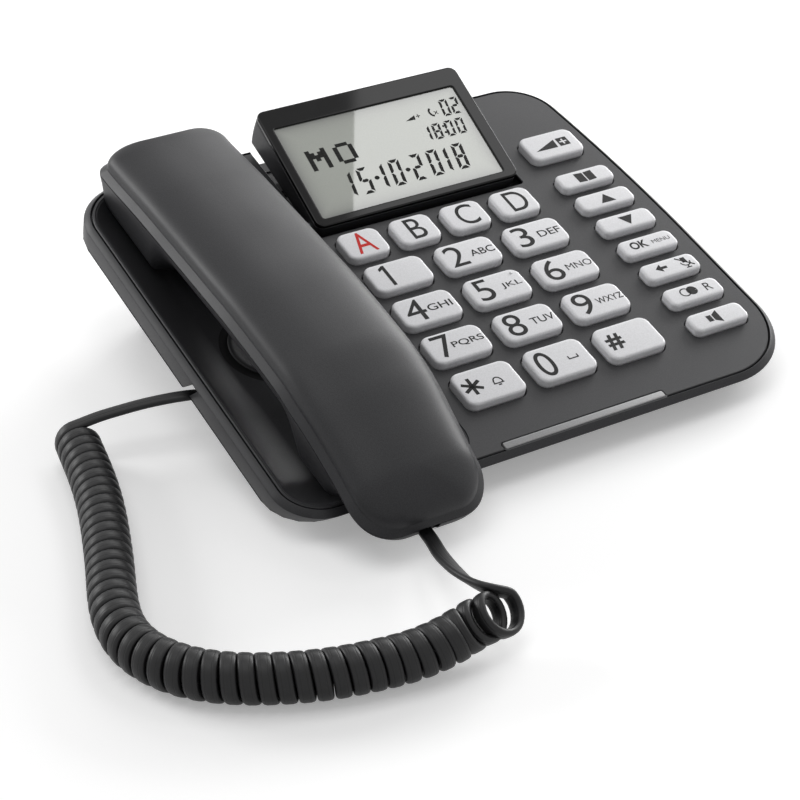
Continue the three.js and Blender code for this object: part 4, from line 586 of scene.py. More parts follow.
def as_arrays(curve, lift=0.0):
    """Points and faces of a curve or text made into a mesh, lifted along its normal."""
    obj = linked("source", curve)
    bpy.context.view_layer.update()
    mesh = bpy.data.meshes.new_from_object(obj.evaluated_get(bpy.context.evaluated_depsgraph_get()))
    points, faces = arrays(mesh)
    bpy.data.objects.remove(obj)
    bpy.data.meshes.remove(mesh)
    bpy.data.curves.remove(curve)
    return weld(points + [0, 0, lift], faces)


def middles(points, faces):
    """Coordinates x, v, w of the middle of each face."""
    return points.reshape(-1, 3)[faces].mean(axis=1).T


def weld(points, faces, step=1e-4):
    """Merges points that coincide and drops faces that collapse."""
    keys = np.round(points / step).astype(np.int64)
    _, first, back = np.unique(keys, axis=0, return_index=True, return_inverse=True)
    back = back.ravel()
    merged = []
    for face in faces:
        ring = [int(back[k]) for k in face]
        ring = [k for i, k in enumerate(ring) if k != ring[i - 1]]
        if len(set(ring)) > 2:
            merged.append(ring)
    return points[first], merged


def body_outline(inset):
    """Outline of the base in the deck: five tangent arcs drawn in by an inset, then the left side's points."""
    half, quarter = BODY_WIDTH / 2, math.pi / 2
    front_left, front_right, back_right, back_left = BODY_RADII
    bow, bow_x = RIGHT_SIDE_RADIUS - back_right, half - RIGHT_SIDE_RADIUS
    turn = math.asin((BODY_BACK - RIGHT_SIDE_START - back_right) / bow)
    corners = [
        (front_left - half, BODY_FRONT + front_left, front_left, -2 * quarter, -quarter),
        (half - front_right, BODY_FRONT + front_right, front_right, -quarter, 0),
        (bow_x, RIGHT_SIDE_START, RIGHT_SIDE_RADIUS, 0, turn),
        (bow_x + bow * math.cos(turn), RIGHT_SIDE_START + bow * math.sin(turn), back_right, turn, quarter),
        (back_left - half, BODY_BACK - back_left, back_left, quarter, 2 * quarter),
    ]
    arcs = [arc(x, v, radius - inset, start, end, 20) for x, v, radius, start, end in corners]
    return np.vstack([
        *arcs[:2], arcs[2][1:], arcs[3][1:],
        [(POD_X + side * RECESS_HALF, BODY_BACK - inset) for side in (1, -1)],
        arcs[4],
        [(-half + inset, v) for v in (50, 35, 20, 5, *CORD_NOTCH[1::-1], -35, -50, -62)],
    ])


def wall_ring(inset, w):
    """Ring of the base's wall at depth w: the front leans back as it goes down."""
    rake = FRONT_RAKE * max(0, -w - CHAMFER_DROP) / (SLAB_DEPTH - CHAMFER_DROP)
    ring = body_outline(inset)
    ring[:, 1] = BODY_BACK - (BODY_BACK - ring[:, 1]) * (1 - rake / (BODY_BACK - BODY_FRONT))
    ring[-5:-3, 1] = np.array(CORD_NOTCH[1::-1]) + NOTCH_SLANT * max(0, CORD_NOTCH[2] - w)
    return at(ring, w)


def base_wall():
    """Outer wall, chamfer and inner groove wall of the base, open for the cord and behind the display."""
    profile = [(0.9, -SLAB_DEPTH), (0.35, -SLAB_DEPTH + 0.15), (0.06, -SLAB_DEPTH + 0.55),
               (0, -SLAB_DEPTH + 1.1), (0, -5), (0, CORD_NOTCH[2]), (0.03, -CHAMFER_DROP - 0.1),
               (0.15, -CHAMFER_DROP + 0.12), (CHAMFER - 0.25, -0.12), (CHAMFER - 0.05, -0.02),
               (CHAMFER + 0.08, -0.08), (CHAMFER + 0.12, -0.3), (CHAMFER + 0.12, -2.48)]
    wall, faces = tube([wall_ring(inset, w) for inset, w in profile])
    x, v, w = middles(wall, faces)
    front, back, top = CORD_NOTCH
    slanted = v - NOTCH_SLANT * np.maximum(0, top - w)
    notch = (x < 0) & (slanted > front) & (slanted < back) & (w < top)
    gap = (v > RECESS[2]) & (np.abs(x - POD_X) < RECESS_HALF) & (w > BACK_GAP_FLOOR)
    ledge, ledge_faces = tube([wall_ring(CHAMFER, -2.46), wall_ring(COVER_EDGE + 2, -2.46)])
    x, v, w = middles(ledge, ledge_faces)
    open_back = (v > RECESS[2] - 3) & (np.abs(x - POD_X) < RECESS_HALF)
    outer, inner = -BODY_WIDTH / 2 + 0.02, -BODY_WIDTH / 2 + 5
    slant = NOTCH_SLANT * (top + SLAB_DEPTH)
    jambs = [corner for v in (front, back) for corner in (
        (outer, v + slant, -SLAB_DEPTH), (outer, v, top), (inner, v, top), (inner, v + slant, -SLAB_DEPTH))]
    points, faces = gather([
        (wall, faces[~notch & ~gap]),
        (ledge, ledge_faces[~open_back]),
        (jambs, [(0, 3, 2, 1), (4, 5, 6, 7), (1, 2, 6, 5)]),
    ])
    piece("base_wall", points, faces, "body_plastic", replaced=["bottom_shell"])


def base_underside():
    """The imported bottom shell, its points merged, without the wall that base_wall draws."""
    source = frame["nodes"]["bottom_shell"]
    points, faces = arrays(source.data)
    world = np.array(source.matrix_world)
    points, faces = weld((points @ world[:3, :3].T + world[:3, 3]) / MM, faces, 1e-3)
    c, s = math.cos(DECK_TILT), math.sin(DECK_TILT)
    y, z = points[:, 1] - DECK_Y, points[:, 2] - DECK_Z
    points = np.stack([points[:, 0], y * c + z * s, -y * s + z * c], -1)
    kept = [f for f in faces if points[f, 2].mean() < -SLAB_DEPTH + 0.05]
    piece("base_underside", points, kept, "body_plastic", sharp=30)


def cradle_depth(v):
    """Depth of the cradle's floor at v: shallower under the mouth cup."""
    middle, length = (CRADLE_BACK + CRADLE_FRONT) / 2, CRADLE_BACK - CRADLE_FRONT
    return CRADLE_DEPTH * along(CRADLE_DEPTH_SHARES, (v - middle) / length)


def side_chain(half, front, back, front_radius, back_radius, edge=()):
    """Left side of a long body from its front edge's points round both corners to the back."""
    quarter = math.pi / 2
    v = np.linspace(front + front_radius, back - back_radius, SIDE_STATIONS + 2)[1:-1]
    return np.vstack([
        np.array([(-x, front) for x in edge]).reshape(-1, 2),
        arc(-half + front_radius, front + front_radius, front_radius, -quarter, -2 * quarter, 16),
        np.column_stack([np.full(SIDE_STATIONS, -half), v]),
        arc(-half + back_radius, back - back_radius, back_radius, 2 * quarter, quarter, 16),
    ])


def mirrored(chain):
    """A ring from its left side: the side front to back, then its mirror image back to front."""
    mirror = chain[::-1] * [-1, 1, 1]
    return np.vstack([chain, mirror]) + [CRADLE_X, 0, 0]


def cradle_rings():
    """The trough: flanks w = -depth(v)(1 - share^1.4) from the rim in, then the floor to its middle line."""
    rings = []
    rf, rb, r0 = CRADLE_RADII
    for share in np.linspace(1, 0, 26):
        half = CRADLE_HALF_FLOOR + (CRADLE_HALF_WIDTH - CRADLE_HALF_FLOOR) * share
        chain = side_chain(half, CRADLE_FRONT + CRADLE_FLANKS[0] * (1 - share),
                           CRADLE_BACK - CRADLE_FLANKS[1] * (1 - share),
                           r0 + (rf - r0) * share, r0 + (rb - r0) * share)
        w = -cradle_depth(chain[:, 1]) * (1 - share ** CRADLE_SWEEP)
        rings.append(mirrored(np.column_stack([chain, w])))
    for q in np.linspace(0.9, 0.05, 10):
        chain = side_chain(CRADLE_HALF_FLOOR * q, CRADLE_FRONT + CRADLE_FLANKS[0] + CRADLE_FLOOR_RUN * (1 - q),
                           CRADLE_BACK - CRADLE_FLANKS[1] - CRADLE_FLOOR_RUN * (1 - q), r0 * q, r0 * q)
        rings.append(mirrored(np.column_stack([chain, -cradle_depth(chain[:, 1])])))
    return rings


def key_plan():
    """Every key: name, middle x and v, width, depth and corner."""
    return [(f"key_{label}", x + across * c, v - down * r - growth * r * r, *size)
            for rows, (x, v), (across, down, growth), size in KEY_BLOCKS
            for r, row in enumerate(rows) for c, label in enumerate(row.split())]


def top_cover():
    """The deck with its holes, the trough of the cradle and the room of the pod, open at the back edge."""
    rings, sides = tube(cradle_rings())
    rows, cols = rings.shape[:2]
    front, flat, back, floor, back_floor = RECESS
    edge = body_outline(COVER_EDGE)
    start = int(np.argmin(np.abs(edge - [POD_X + RECESS_HALF, BODY_BACK - COVER_EDGE]).sum(axis=1))) + 1
    quarter, corner = math.pi / 2, 1.2
    bay = [arc(POD_X + side * (RECESS_HALF - corner), front + corner, corner, turn, turn - quarter, 4)
           for side, turn in ((1, 0), (-1, -quarter))]
    edge = np.vstack([edge[:start], *bay, edge[start:]])
    holes = [round_rect(w + 2 * KEY_GAP, d + 2 * KEY_GAP, r + KEY_GAP, 8, x, v)
             for _, x, v, w, d, r in key_plan()]
    x, v, length, depth = LIGHT_BAR
    bar = round_rect(length + 0.6, depth + 0.6, 0.7, 4, x, v)
    skin = plate([edge, rings[0, :, :2], bar, *holes], -COVER_THICKNESS, 0, bevel=COVER_BEVEL, rounds=0)
    rings[0, :, 2] = -COVER_BEVEL
    trough = (rings, np.vstack([sides[:, ::-1], ladder((rows - 1) * cols, cols)]))
    outer = BODY_BACK - 0.06
    section = [(front, -COVER_BEVEL), (front, floor), (flat, floor), (back, back_floor), (back, BACK_GAP_FLOOR),
               (outer, BACK_GAP_FLOOR), (outer, -CHAMFER_DROP), (BODY_BACK - CHAMFER, -0.1),
               (BODY_BACK - COVER_EDGE, -COVER_BEVEL)]
    walls = [(POD_X + side * RECESS_HALF, v, w) for side in (-1, 1) for v, w in section]
    room = (walls, [(k, k + 1, k + 10, k + 9) for k in range(5)] + [range(8, -1, -1), range(9, 18)])
    points, faces = gather([skin, trough, room])
    piece("top_cover_skin", points, faces, "body_plastic", replaced=["top_cover"], sharp=28)


def speaker():
    """The speaker's disc in the trough with its slots as flat marks of painted shade, and a flat ring of
    painted shade on the floor for the groove round it.
    """
    circle, middle = arc(0, 0, 1, 0, 2 * math.pi, 96)[:-1], [CRADLE_X, SPEAKER_V]
    groove = []
    for radius, lift in SPEAKER_GROOVE:
        ring = circle * radius + middle
        groove.append(np.column_stack([ring, -cradle_depth(ring[:, 1]) + lift]))
    # Painted shade: the groove is a flat near-black ring just above the floor, not a cut
    piece("speaker_groove_painted_shade", *tube(groove), "under_plastic", look="dark")
    disc = [at(circle * r + middle, w) for r, w in SPEAKER_DISC]
    piece("speaker_disc", *tube(disc), "under_plastic", replaced=["speaker_grille"], sharp=50)
    slot = round_rect(*SPEAKER_SLOT, 5)
    slots = [slot]
    for k in range(1, SPEAKER_SLOTS + 1):
        t = 2 * math.pi * k / SPEAKER_SLOTS
        turn = np.array([[math.cos(t), math.sin(t)], [-math.sin(t), math.cos(t)]])
        slots.append((slot + [SPEAKER_SLOT_RING, 0]) @ turn)
    slots = [(at(s + middle, SPEAKER_DISC[-1][1] + INK_LIFT), [range(len(s))]) for s in slots]
    # Painted shade: the slots are flat near-black shapes on the disc, not holes
    piece("speaker_slots_painted_shade", *gather(slots), "under_plastic", look="dark")


def light_bar():
    """The message lamp's bar in the cover's front edge."""
    x, v, length, depth = LIGHT_BAR
    points, faces = plate([round_rect(length, depth, 0.7, 5, x, v)], -1.75, 0.25, bevel=0.3)
    piece("message_light", points, faces, "light_plastic", replaced=["light_bar"], sharp=50)


def key_cap(key):
    """A cap: upright sides, a rounded edge and a flat top, moving with its own body."""
    name, x, v, width, depth, corner = key
    rings, faces = tube([
        at(round_rect(width - 2 * i, depth - 2 * i, corner - i * KEY_CORNER_SHARE, 10, x, v), w)
        for i, w in KEY_PROFILE])
    rows, cols = rings.shape[:2]
    faces = [*faces, range((rows - 1) * cols, rows * cols), range(cols - 1, -1, -1)]
    piece(name + "_cap", rings, faces, "key_plastic", name, [name], sharp=60)


def lettering(text, box, weight=0.0):
    """A word as a flat mesh stretched into its box."""
    curve = bpy.data.curves.new("word", "FONT")
    curve.body = text
    curve.offset = weight
    points, faces = as_arrays(curve)
    x0, x1, y0, y1 = box
    low, high = points.min(axis=0), points.max(axis=0)
    return (points[:, :2] - low[:2]) / (high - low)[:2] * [x1 - x0, y1 - y0] + [x0, y0], faces


def band(line, width):
    """A ribbon of quads along a line in the plane, half its width to either side."""
    line = np.asarray(line, float)
    ahead = np.gradient(line, axis=0)
    ahead /= np.linalg.norm(ahead, axis=1, keepdims=True)
    side = np.column_stack([-ahead[:, 1], ahead[:, 0]]) * width / 2
    return np.vstack([line - side, (line + side)[::-1]]), ladder(0, 2 * len(line))[:, ::-1]


def key_marks(label):
    """All the marks of one key, as flat meshes in its own millimetres."""
    marks = [lettering(*mark) for mark in LETTERING.get(label, [])]
    marks += [band(stroke[:2], stroke[2]) for stroke in STROKES.get(label, [])]
    for (x, y), radius, width, start, end in ARCS.get(label, []):
        marks.append(band(arc(x, y, radius, math.radians(start), math.radians(end), 36), width))
    return marks + [flat_fill(group) for group in SHAPES.get(label, [])]


def flat_fill(outlines):
    """A filled flat shape; an outline inside another is a hole."""
    points, faces = plate([np.array(outline, float) for outline in outlines], 0, 0)
    return points[:, :2], faces


def print_key(key, ink):
    """The marks laid on the key's top, moving with it."""
    name, x, v = key[:3]
    marks = key_marks(name[4:])
    if marks:
        points, faces = gather([(at(p + [x, v], KEY_HEIGHT + INK_LIFT), f) for p, f in marks])
        piece(name + "_print", points, upward(points, faces), "key_plastic", name, look=ink)


def upward(points, faces):
    """The faces turned so that their normals point up, by the sign of each one's area."""
    turned = []
    for face in faces:
        x, y = points[face, 0], points[face, 1]
        area = np.dot(x, np.roll(y, -1)) - np.dot(y, np.roll(x, -1))
        turned.append(face if area > 0 else face[::-1])
    return turned


def key_pip():
    """The raised pip of the middle key: a low dome of rings r cos t, h sin t."""
    name, x, v = [k for k in key_plan() if k[0] == "key_5"][0][:3]
    right, up, radius, height = KEY_PIP
    circle = arc(0, 0, radius, 0, 2 * math.pi, 20)[:-1]
    rings, faces = tube([
        at(circle * math.cos(t) + [x + right, v + up], KEY_HEIGHT - 0.08 + height * math.sin(t))
        for t in np.linspace(0, 1.5, 7)])
    piece("key_5_pip", rings, [*faces, range(120, 140)], "key_plastic", name)


def segment_shapes(width, height, bar):
    """The seven bars of a figure, mitred where they meet, with small gaps."""
    gap, half = bar * 0.22, height / 2
    right = [(width, half + gap / 2), (width, height - gap * 1.6), (width - bar, height - bar - gap),
             (width - bar, half + bar / 2 + gap), (width - bar / 2, half + gap / 2)]
    top = [(gap * 1.6, height), (bar + gap, height - bar), (width - bar - gap, height - bar),
           (width - gap * 1.6, height)]
    near, far = bar + gap / 2, width - bar - gap / 2
    middle = [(bar / 2 + gap, half), (near, half - bar / 2), (far, half - bar / 2),
              (width - bar / 2 - gap, half), (far, half + bar / 2), (near, half + bar / 2)]
    right, top, middle = np.array(right), np.array(top), np.array(middle)
    over, across = np.array([1, -1]), np.array([-1, 1])
    return {"a": top, "b": right, "c": right * over + [0, height], "d": top * over + [0, height],
            "e": right * -1 + [width, height], "f": right * across + [width, 0], "g": middle}


def display_figures():
    """The date, time and count in seven-bar figures, the day in square dots, and two small signs."""
    parts = []
    for base, width, height, bar, figures in DISPLAY_ROWS:
        shapes = segment_shapes(width, height, bar)
        for figure, x in figures:
            for p in [shapes[name] for name in SEGMENTS[figure]]:
                parts.append((p + np.column_stack([p[:, 1] * DISPLAY_SLANT + x, np.full(len(p), base)]),
                              [range(len(p))]))
    for x, y, r in DISPLAY_DOTS:
        parts.append((arc(x, y, r, 0, 2 * math.pi, 12)[:-1] * [1.15, 1] - [x * 0.15, 0], [range(12)]))
    wide, tall = DAY_PIXEL
    dot = np.array([(0, 0), (wide + 0.25, 0), (wide + 0.25, tall + 0.2), (0, tall + 0.2)])
    for left, rows in DAY_LETTERS:
        for r, row in enumerate(reversed(rows)):
            parts += [(dot + [left + c * wide, DAY_BASE + r * tall], [range(4)])
                      for c, mark in enumerate(row) if mark == "X"]
    parts += [flat_fill([[(11.6, 34.3), (15.6, 34.1), (15.9, 36)]]), band([(16.4, 35.3), (18, 35.3)], 0.35),
              band([(17.2, 34.5), (17.2, 36.1)], 0.35), band(arc(24.2, 35.6, 2, 2.2, 4.4, 12), 0.8),
              band([(24, 34.2), (25.4, 35.6)], 0.3), band([(24, 35.6), (25.4, 34.2)], 0.3)]
    points, faces = gather([(at(p, LCD_DEPTH + 0.03), f) for p, f in parts])
    piece("display_figures", on_pod(points), upward(points, faces), "lcd_glass", "display", look="display_ink")


def arch(v):
    """Height of the handset's parting line."""
    return HANDSET_ARCH * along(HANDSET_ARCH_SHARES, v)


def underside(v):
    """Lowest line of the handset: both cups in the bowls, the handle and the tips above them."""
    places = np.array([HANDSET_FRONT, -92.4, -87, -77.5, -65, -52, 0, 34, 41, 76, 79.6, HANDSET_BACK])
    high = arch(places)
    foot = -cradle_depth(places) + CUP_FOOT_GAP
    handle = high - HANDLE_DEPTH
    low = [high[0] - 5, 1.3, 1.1, *foot[3:5], *handle[5:8], *foot[8:10], high[10] - 7.4, high[11] - 5.4]
    return along(list(zip(places, low)), v)


def cupness(v):
    """How far the section is a steep cup (1) or a rounded handle (0)."""
    return along([[-91.4, 0], [-77.5, 0.7], [-65, 0.7], [-52, 0], [28.6, 0], [41, 1], [HANDSET_BACK, 1]], v)


def handset_ring(front_end, back_end):
    """Left side of the handset's outline, tapered to the mouth and drawn in at both ends."""
    x, v = side_chain(HANDSET_HALF_WIDTH, HANDSET_FRONT, HANDSET_BACK, *HANDSET_RADII, edge=HANDSET_EDGE).T
    drawn = 1 - (front_end + back_end) / HANDSET_LENGTH
    return x * along(HANDSET_TAPER, v), HANDSET_FRONT + front_end + (v - HANDSET_FRONT) * drawn


def handset_lower():
    """The lower shell: layers from the parting line down, drawn in more under the handle than at the cups."""
    middle = (HANDSET_FRONT + HANDSET_BACK) / 2

    def layer(depth, grow=0.0, lift=0.0):
        end, in_cup, in_handle = [along(list(zip(DEPTH_LAYERS, insets)), depth)
                                  for insets in (END_INSETS, CUP_INSETS, HANDLE_INSETS)]
        x, v = handset_ring(END_DEPTHS[0] * end, END_DEPTHS[1] * end)
        cup = cupness(v)
        inset = in_cup * cup + in_handle * (1 - cup)
        high = arch(v)
        w = high + (underside(v) - high) * depth - lift
        return mirrored(np.column_stack([x * (1 - inset - grow / HANDSET_HALF_WIDTH),
                                         middle + (v - middle) * (1 - 2 * grow / HANDSET_LENGTH), w]))

    depths = [1, 0.985, *np.linspace(0.96, 0.03, 26), 0.012]
    rings, faces = tube([layer(d) for d in depths]
                        + [layer(0, 0.12, 0.2), layer(0, 0.9, 0.25), layer(0, 0.9, -0.9)])
    x, v, _ = middles(rings, faces)
    notch = (np.abs(x - CORD_HOLE_X) < NOTCH_HALF) & (v < HANDSET_FRONT + 6)
    bottom = ladder(0, rings.shape[1])[:, ::-1]
    piece("handset_lower", *gather([(rings, faces[~notch]), (rings[0], bottom)]), "under_plastic", "handset",
          ["handset_bottom_shell"], sharp=40)


def handset_well():
    """The well behind the cord's notch, between the underside and the parting line: all but its front, its
    walls near-black with painted shade.
    """
    roof, floor, back = WELL_EDGES
    section = [(roof, arch(roof) - 0.06), (floor, underside(floor) + 0.15),
               (back, arch(back) - 0.3), (back, underside(back) + 0.15)]
    corners = [(CORD_HOLE_X + side * (NOTCH_HALF + 0.05), v, w) for side in (-1, 1) for v, w in section]
    faces = [(0, 2, 6, 4), (1, 5, 7, 3), (0, 1, 3, 2), (4, 6, 7, 5), (2, 3, 7, 6)]
    # Painted shade: the well's walls take the near-black shade material instead of the shell's plastic
    piece("handset_cord_well", corners, faces, "under_plastic", "handset", look="dark")


def handset_plug():
    """The clear plug deep in the well, a block with rounded edges and a step for its latch."""
    blocks = []
    for width, front, back, low, high in PLUG_BLOCKS:
        outline = round_rect(width, back - front, 0.6, 4, CORD_HOLE_X, (front + back) / 2)
        blocks.append(plate([outline], low, high, 0.25))
    return piece("handset_plug", *gather(blocks), "plug_plastic", "handset", ["plug_handset"], sharp=50)


def handset_upper():
    """The upper shell: a flat bright chamfer, then a dome x = a cos(t)^p, w = arch(v) + b sin(t)^p."""
    def layer(side, front_end, back_end, height):
        x, v = handset_ring(front_end, back_end)
        return mirrored(np.column_stack([x * side, v, arch(v) + height]))

    half = (HANDSET_HALF_WIDTH - HANDSET_CHAMFER) / HANDSET_HALF_WIDTH
    end = HANDSET_CHAMFER / 2
    edge = (half + 0.004, end - 0.05, end - 0.05, HANDSET_CHAMFER - 0.12)
    rings = [layer(*row) for row in [*HANDSET_LIP, edge]]
    for t in np.linspace(0, 0.985, 30) * math.pi / 2:
        ends = [end + run * (1 - math.cos(t)) for run in HANDSET_CROWN_RUNS]
        rings.append(layer(half * math.cos(t) ** HANDSET_FULLNESS, *ends,
                           HANDSET_CHAMFER + HANDSET_CROWN * math.sin(t) ** HANDSET_FULLNESS))
    points, faces = gather([tube(rings), (rings[-1], ladder(0, len(rings[-1])))])
    piece("handset_upper", points, faces, "body_plastic", "handset", ["handset_top_shell"], sharp=32)


def pod_outline(inset):
    """The pod's outline, drawn in by an inset."""
    return round_rect(POD_WIDTH - 2 * inset, POD_LENGTH - 2 * inset, max(POD_RADIUS - inset, 0.6), 8, 0,
                      POD_LENGTH / 2)


def pod_ring():
    """The pod's outline from the back down its left side, then mirrored up its right side."""
    r, half, quarter = POD_RADIUS, POD_WIDTH / 2, math.pi / 2
    side = [*np.linspace(POD_LENGTH - r, 15, 14)[1:], 9]
    left = np.vstack([
        arc(-half + r, POD_LENGTH - r, r, quarter, 2 * quarter, 8),
        [(-half, a) for a in side],
        arc(-half + r, r, r, 2 * quarter, 3 * quarter, 8),
    ])
    return np.vstack([left, left[::-1] * [-1, 1]])


def pod_housing():
    """The pod's tray, a wedge with round lower edges, deepest just before its steep back."""
    ring = pod_ring()
    half = np.array([POD_WIDTH / 2, POD_LENGTH / 2])
    middle = half * [0, 1]
    depth = np.interp(ring[:, 1], *np.array(POD_DEPTHS).T) + POD_SEAM
    lip = np.interp(ring[:, 1], [0, 15, POD_LENGTH], [3.6, 1.6, 1.6])
    rings = []
    for share in [0, 0.02, 0.06, *np.linspace(0.15, 0.6, 5), *np.linspace(0.7, 1, 14)]:
        edge = 0.35 if share == 0 else (0.08 if share < 0.05 else 0)
        down = depth * share
        over = np.clip(down - (depth - lip), 0, lip)
        inset = edge + lip - np.sqrt(np.maximum(lip ** 2 - over ** 2, 0))
        rings.append(np.column_stack([middle + (ring - middle) * (1 - inset[:, None] / half), POD_SEAM - down]))
    rings, faces = tube(rings[::-1])
    points, faces = gather([(rings, faces), (rings[0], ladder(0, len(ring))[:, ::-1])])
    piece("pod_tray", on_pod(points), faces, "body_plastic", "display", ["display_housing"], sharp=40)


def pod_face():
    """The gloss black frame with its rounded edge, the well of the window and the panel in it.

    The panel carries each point's distance from the window's edge, for its painted shade.
    """
    x0, x1, a0, a1 = LCD_WINDOW
    cx, ca, width, depth = (x0 + x1 - POD_WIDTH) / 2, (a0 + a1) / 2, x1 - x0, a1 - a0
    rim, flat = 0.45, 0.75

    def window(grow):
        return round_rect(width + 2 * grow, depth + 2 * grow, 1.1 + grow, 8, cx, ca)

    outer = [at(pod_outline(inset), b) for inset, b in (
        (0.5, POD_SEAM), (0.12, -1.6), (0, -1.35), (0, -0.55), (0.06, -0.3), (0.2, -0.1), (0.45, 0), (flat, 0))]
    well = [at(window(grow), b) for grow, b in (
        (rim, 0), (0.15, 0), (0.02, -0.06), (0, -0.2), (0, LCD_DEPTH - 0.02))]
    points, faces = plate([pod_outline(flat), window(rim)], -0.3, 0)
    skin = [f for f in faces if points[f, 2].min() > -0.01]
    points, faces = weld(*gather([tube(outer), (points, skin), tube(well)]), 1e-3)
    piece("pod_frame", on_pod(points), faces, "lens_plastic", "display", ["display_lens"], sharp=40)
    cols, rows = 81, 51
    u, v = np.meshgrid(np.linspace(-1, 1, cols), np.linspace(-1, 1, rows))
    grid = np.stack([cx + u * (width / 2 + 0.3), ca + v * (depth / 2 + 0.3), np.full_like(u, LCD_DEPTH)], -1)
    faces = grid_faces(rows, cols, closed=False)
    panel = piece("pod_panel", on_pod(grid), faces, "lcd_glass", "display", ["lcd_panel"])
    # Each point's distance from the window's edge, which the panel's material turns into painted shade
    attribute(panel, "edge_distance", np.minimum((1 - np.abs(u)) * width / 2, (1 - np.abs(v)) * depth / 2))


def unit(v):
    return v / np.linalg.norm(v, axis=-1, keepdims=True)


def smoothstep(t):
    t = np.clip(t, 0, 1)
    return t * t * (3 - 2 * t)


def run_of(points):
    """Length along a dense line up to each of its points."""
    return np.concatenate([[0], np.cumsum(np.linalg.norm(np.diff(points, axis=0), axis=1))])


def resample(points, places):
    """Points at given lengths along a dense line."""
    run = run_of(points)
    return np.stack([np.interp(places, run, points[:, k]) for k in range(3)], -1)


def eased(points):
    """A uniform cubic B-spline that starts and ends on the first and last point."""
    p = np.asarray(points, float)
    p = np.vstack([2 * p[0] - p[1], p, 2 * p[-1] - p[-2]])
    t = np.linspace(0, 1, 40, endpoint=False)
    shares = [(1 - t) ** 3, 3 * t ** 3 - 6 * t ** 2 + 4, -3 * t ** 3 + 3 * t ** 2 + 3 * t + 1, t ** 3]
    weights = np.stack(shares, -1) / 6
    return np.vstack([weights @ p[i:i + 4] for i in range(len(p) - 3)] + [points[-1]])


def cord_route():
    """Centre line of the whole cord and the direction that its flat side faces at each point.

    The coil is c(s) + r (side cos a + top sin a) about its axis c; the leads leave it along its tangent.
    """
    up = np.array([0, 0, 1.0])
    axis = eased([(*p, COIL_DIAMETER / 2 + COIL_LIFT)[:3] for p in COIL_POINTS])
    turns = COIL_TURNS + (COIL_END - COIL_START) / 360
    turn = np.linspace(0, turns, round(turns * COIL_STEPS) + 1)
    stretch = 1 + COIL_LOOSENESS * smoothstep((turn - turns + COIL_LOOSE_TURNS) / COIL_LOOSE_TURNS)
    place = np.concatenate([[0], np.cumsum((stretch[1:] + stretch[:-1]) / 2)])
    centre = resample(axis, place * run_of(axis)[-1] / place[-1])
    lean = smoothstep((turn - turns + COIL_LEAN_TURNS[0]) / COIL_LEAN_TURNS[1])[:, None]
    ahead = unit(unit(np.gradient(centre, axis=0)) * (1 - lean) + np.array(COIL_LEAN) * lean)
    side = unit(np.cross(up, ahead))
    top = np.cross(ahead, side)
    angle = (math.radians(COIL_START) + 2 * math.pi * turn)[:, None]
    out = side * np.cos(angle) + top * np.sin(angle)
    coil = centre + out * (COIL_DIAMETER - CORD_THICKNESS) / 2
    start, end = unit(coil[1] - coil[0]), unit(coil[-1] - coil[-2])
    base_end, (x, v, w) = on_deck(BASE_CORD_END), HANDSET_CORD_END
    leads = [eased([base_end, base_end - [STRAIGHT, 0, 0], *BASE_LEAD_POINTS, coil[0] - start * STRAIGHT / 2,
                    coil[0]]),
             eased([on_deck((x, v, w)), on_deck((x, v - STRAIGHT, w)), *HANDSET_LEAD_POINTS,
                    coil[-1] + end * STRAIGHT / 3, coil[-1]])[::-1]]
    base, hand = [resample(lead, np.linspace(0, run_of(lead)[-1], LEAD_STATIONS)) for lead in leads]
    turned = smoothstep(np.linspace(0, 1, LEAD_STATIONS) / 0.8)[:, None]
    points = np.vstack([base[:-1], coil, hand[1:]])
    flat = np.vstack([np.tile(up, (LEAD_STATIONS - 1, 1)), out, (out[-1] * (1 - turned) + up * turned)[1:]])
    return points, flat


def handset_cord(plug):
    """The flat cord: a rounded band section carried along the route, its flat side facing outwards.

    The section is x = a sign(cos t) |cos t|^0.6, y = b sign(sin t) |sin t|^0.8.
    """
    points, flat = cord_route()
    ahead = unit(np.gradient(points, axis=0))
    normal = unit(flat - ahead * np.sum(flat * ahead, -1, keepdims=True))
    width = np.cross(ahead, normal)
    c, s = arc(0, 0, 1, 0, 2 * math.pi, 14)[:-1].T
    across = np.sign(c) * np.abs(c) ** 0.6
    through = np.sign(s) * np.abs(s) ** 0.8
    rings, faces = tube(points[:, None] + width[:, None] * across[:, None] * CORD_WIDTH / 2
                        + normal[:, None] * through[:, None] * CORD_THICKNESS / 2)
    rows, cols = rings.shape[:2]
    faces = [*faces[:, ::-1], range(cols), range(rows * cols - 1, (rows - 1) * cols - 1, -1)]
    obj = solid("handset_cord", rings, faces, MATERIALS["cord_jacket"])
    attribute(obj, "across", np.tile(across, rows))
    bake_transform(obj)
    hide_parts("handset_cord_coil", "cord_lead_base", "cord_lead_handset")


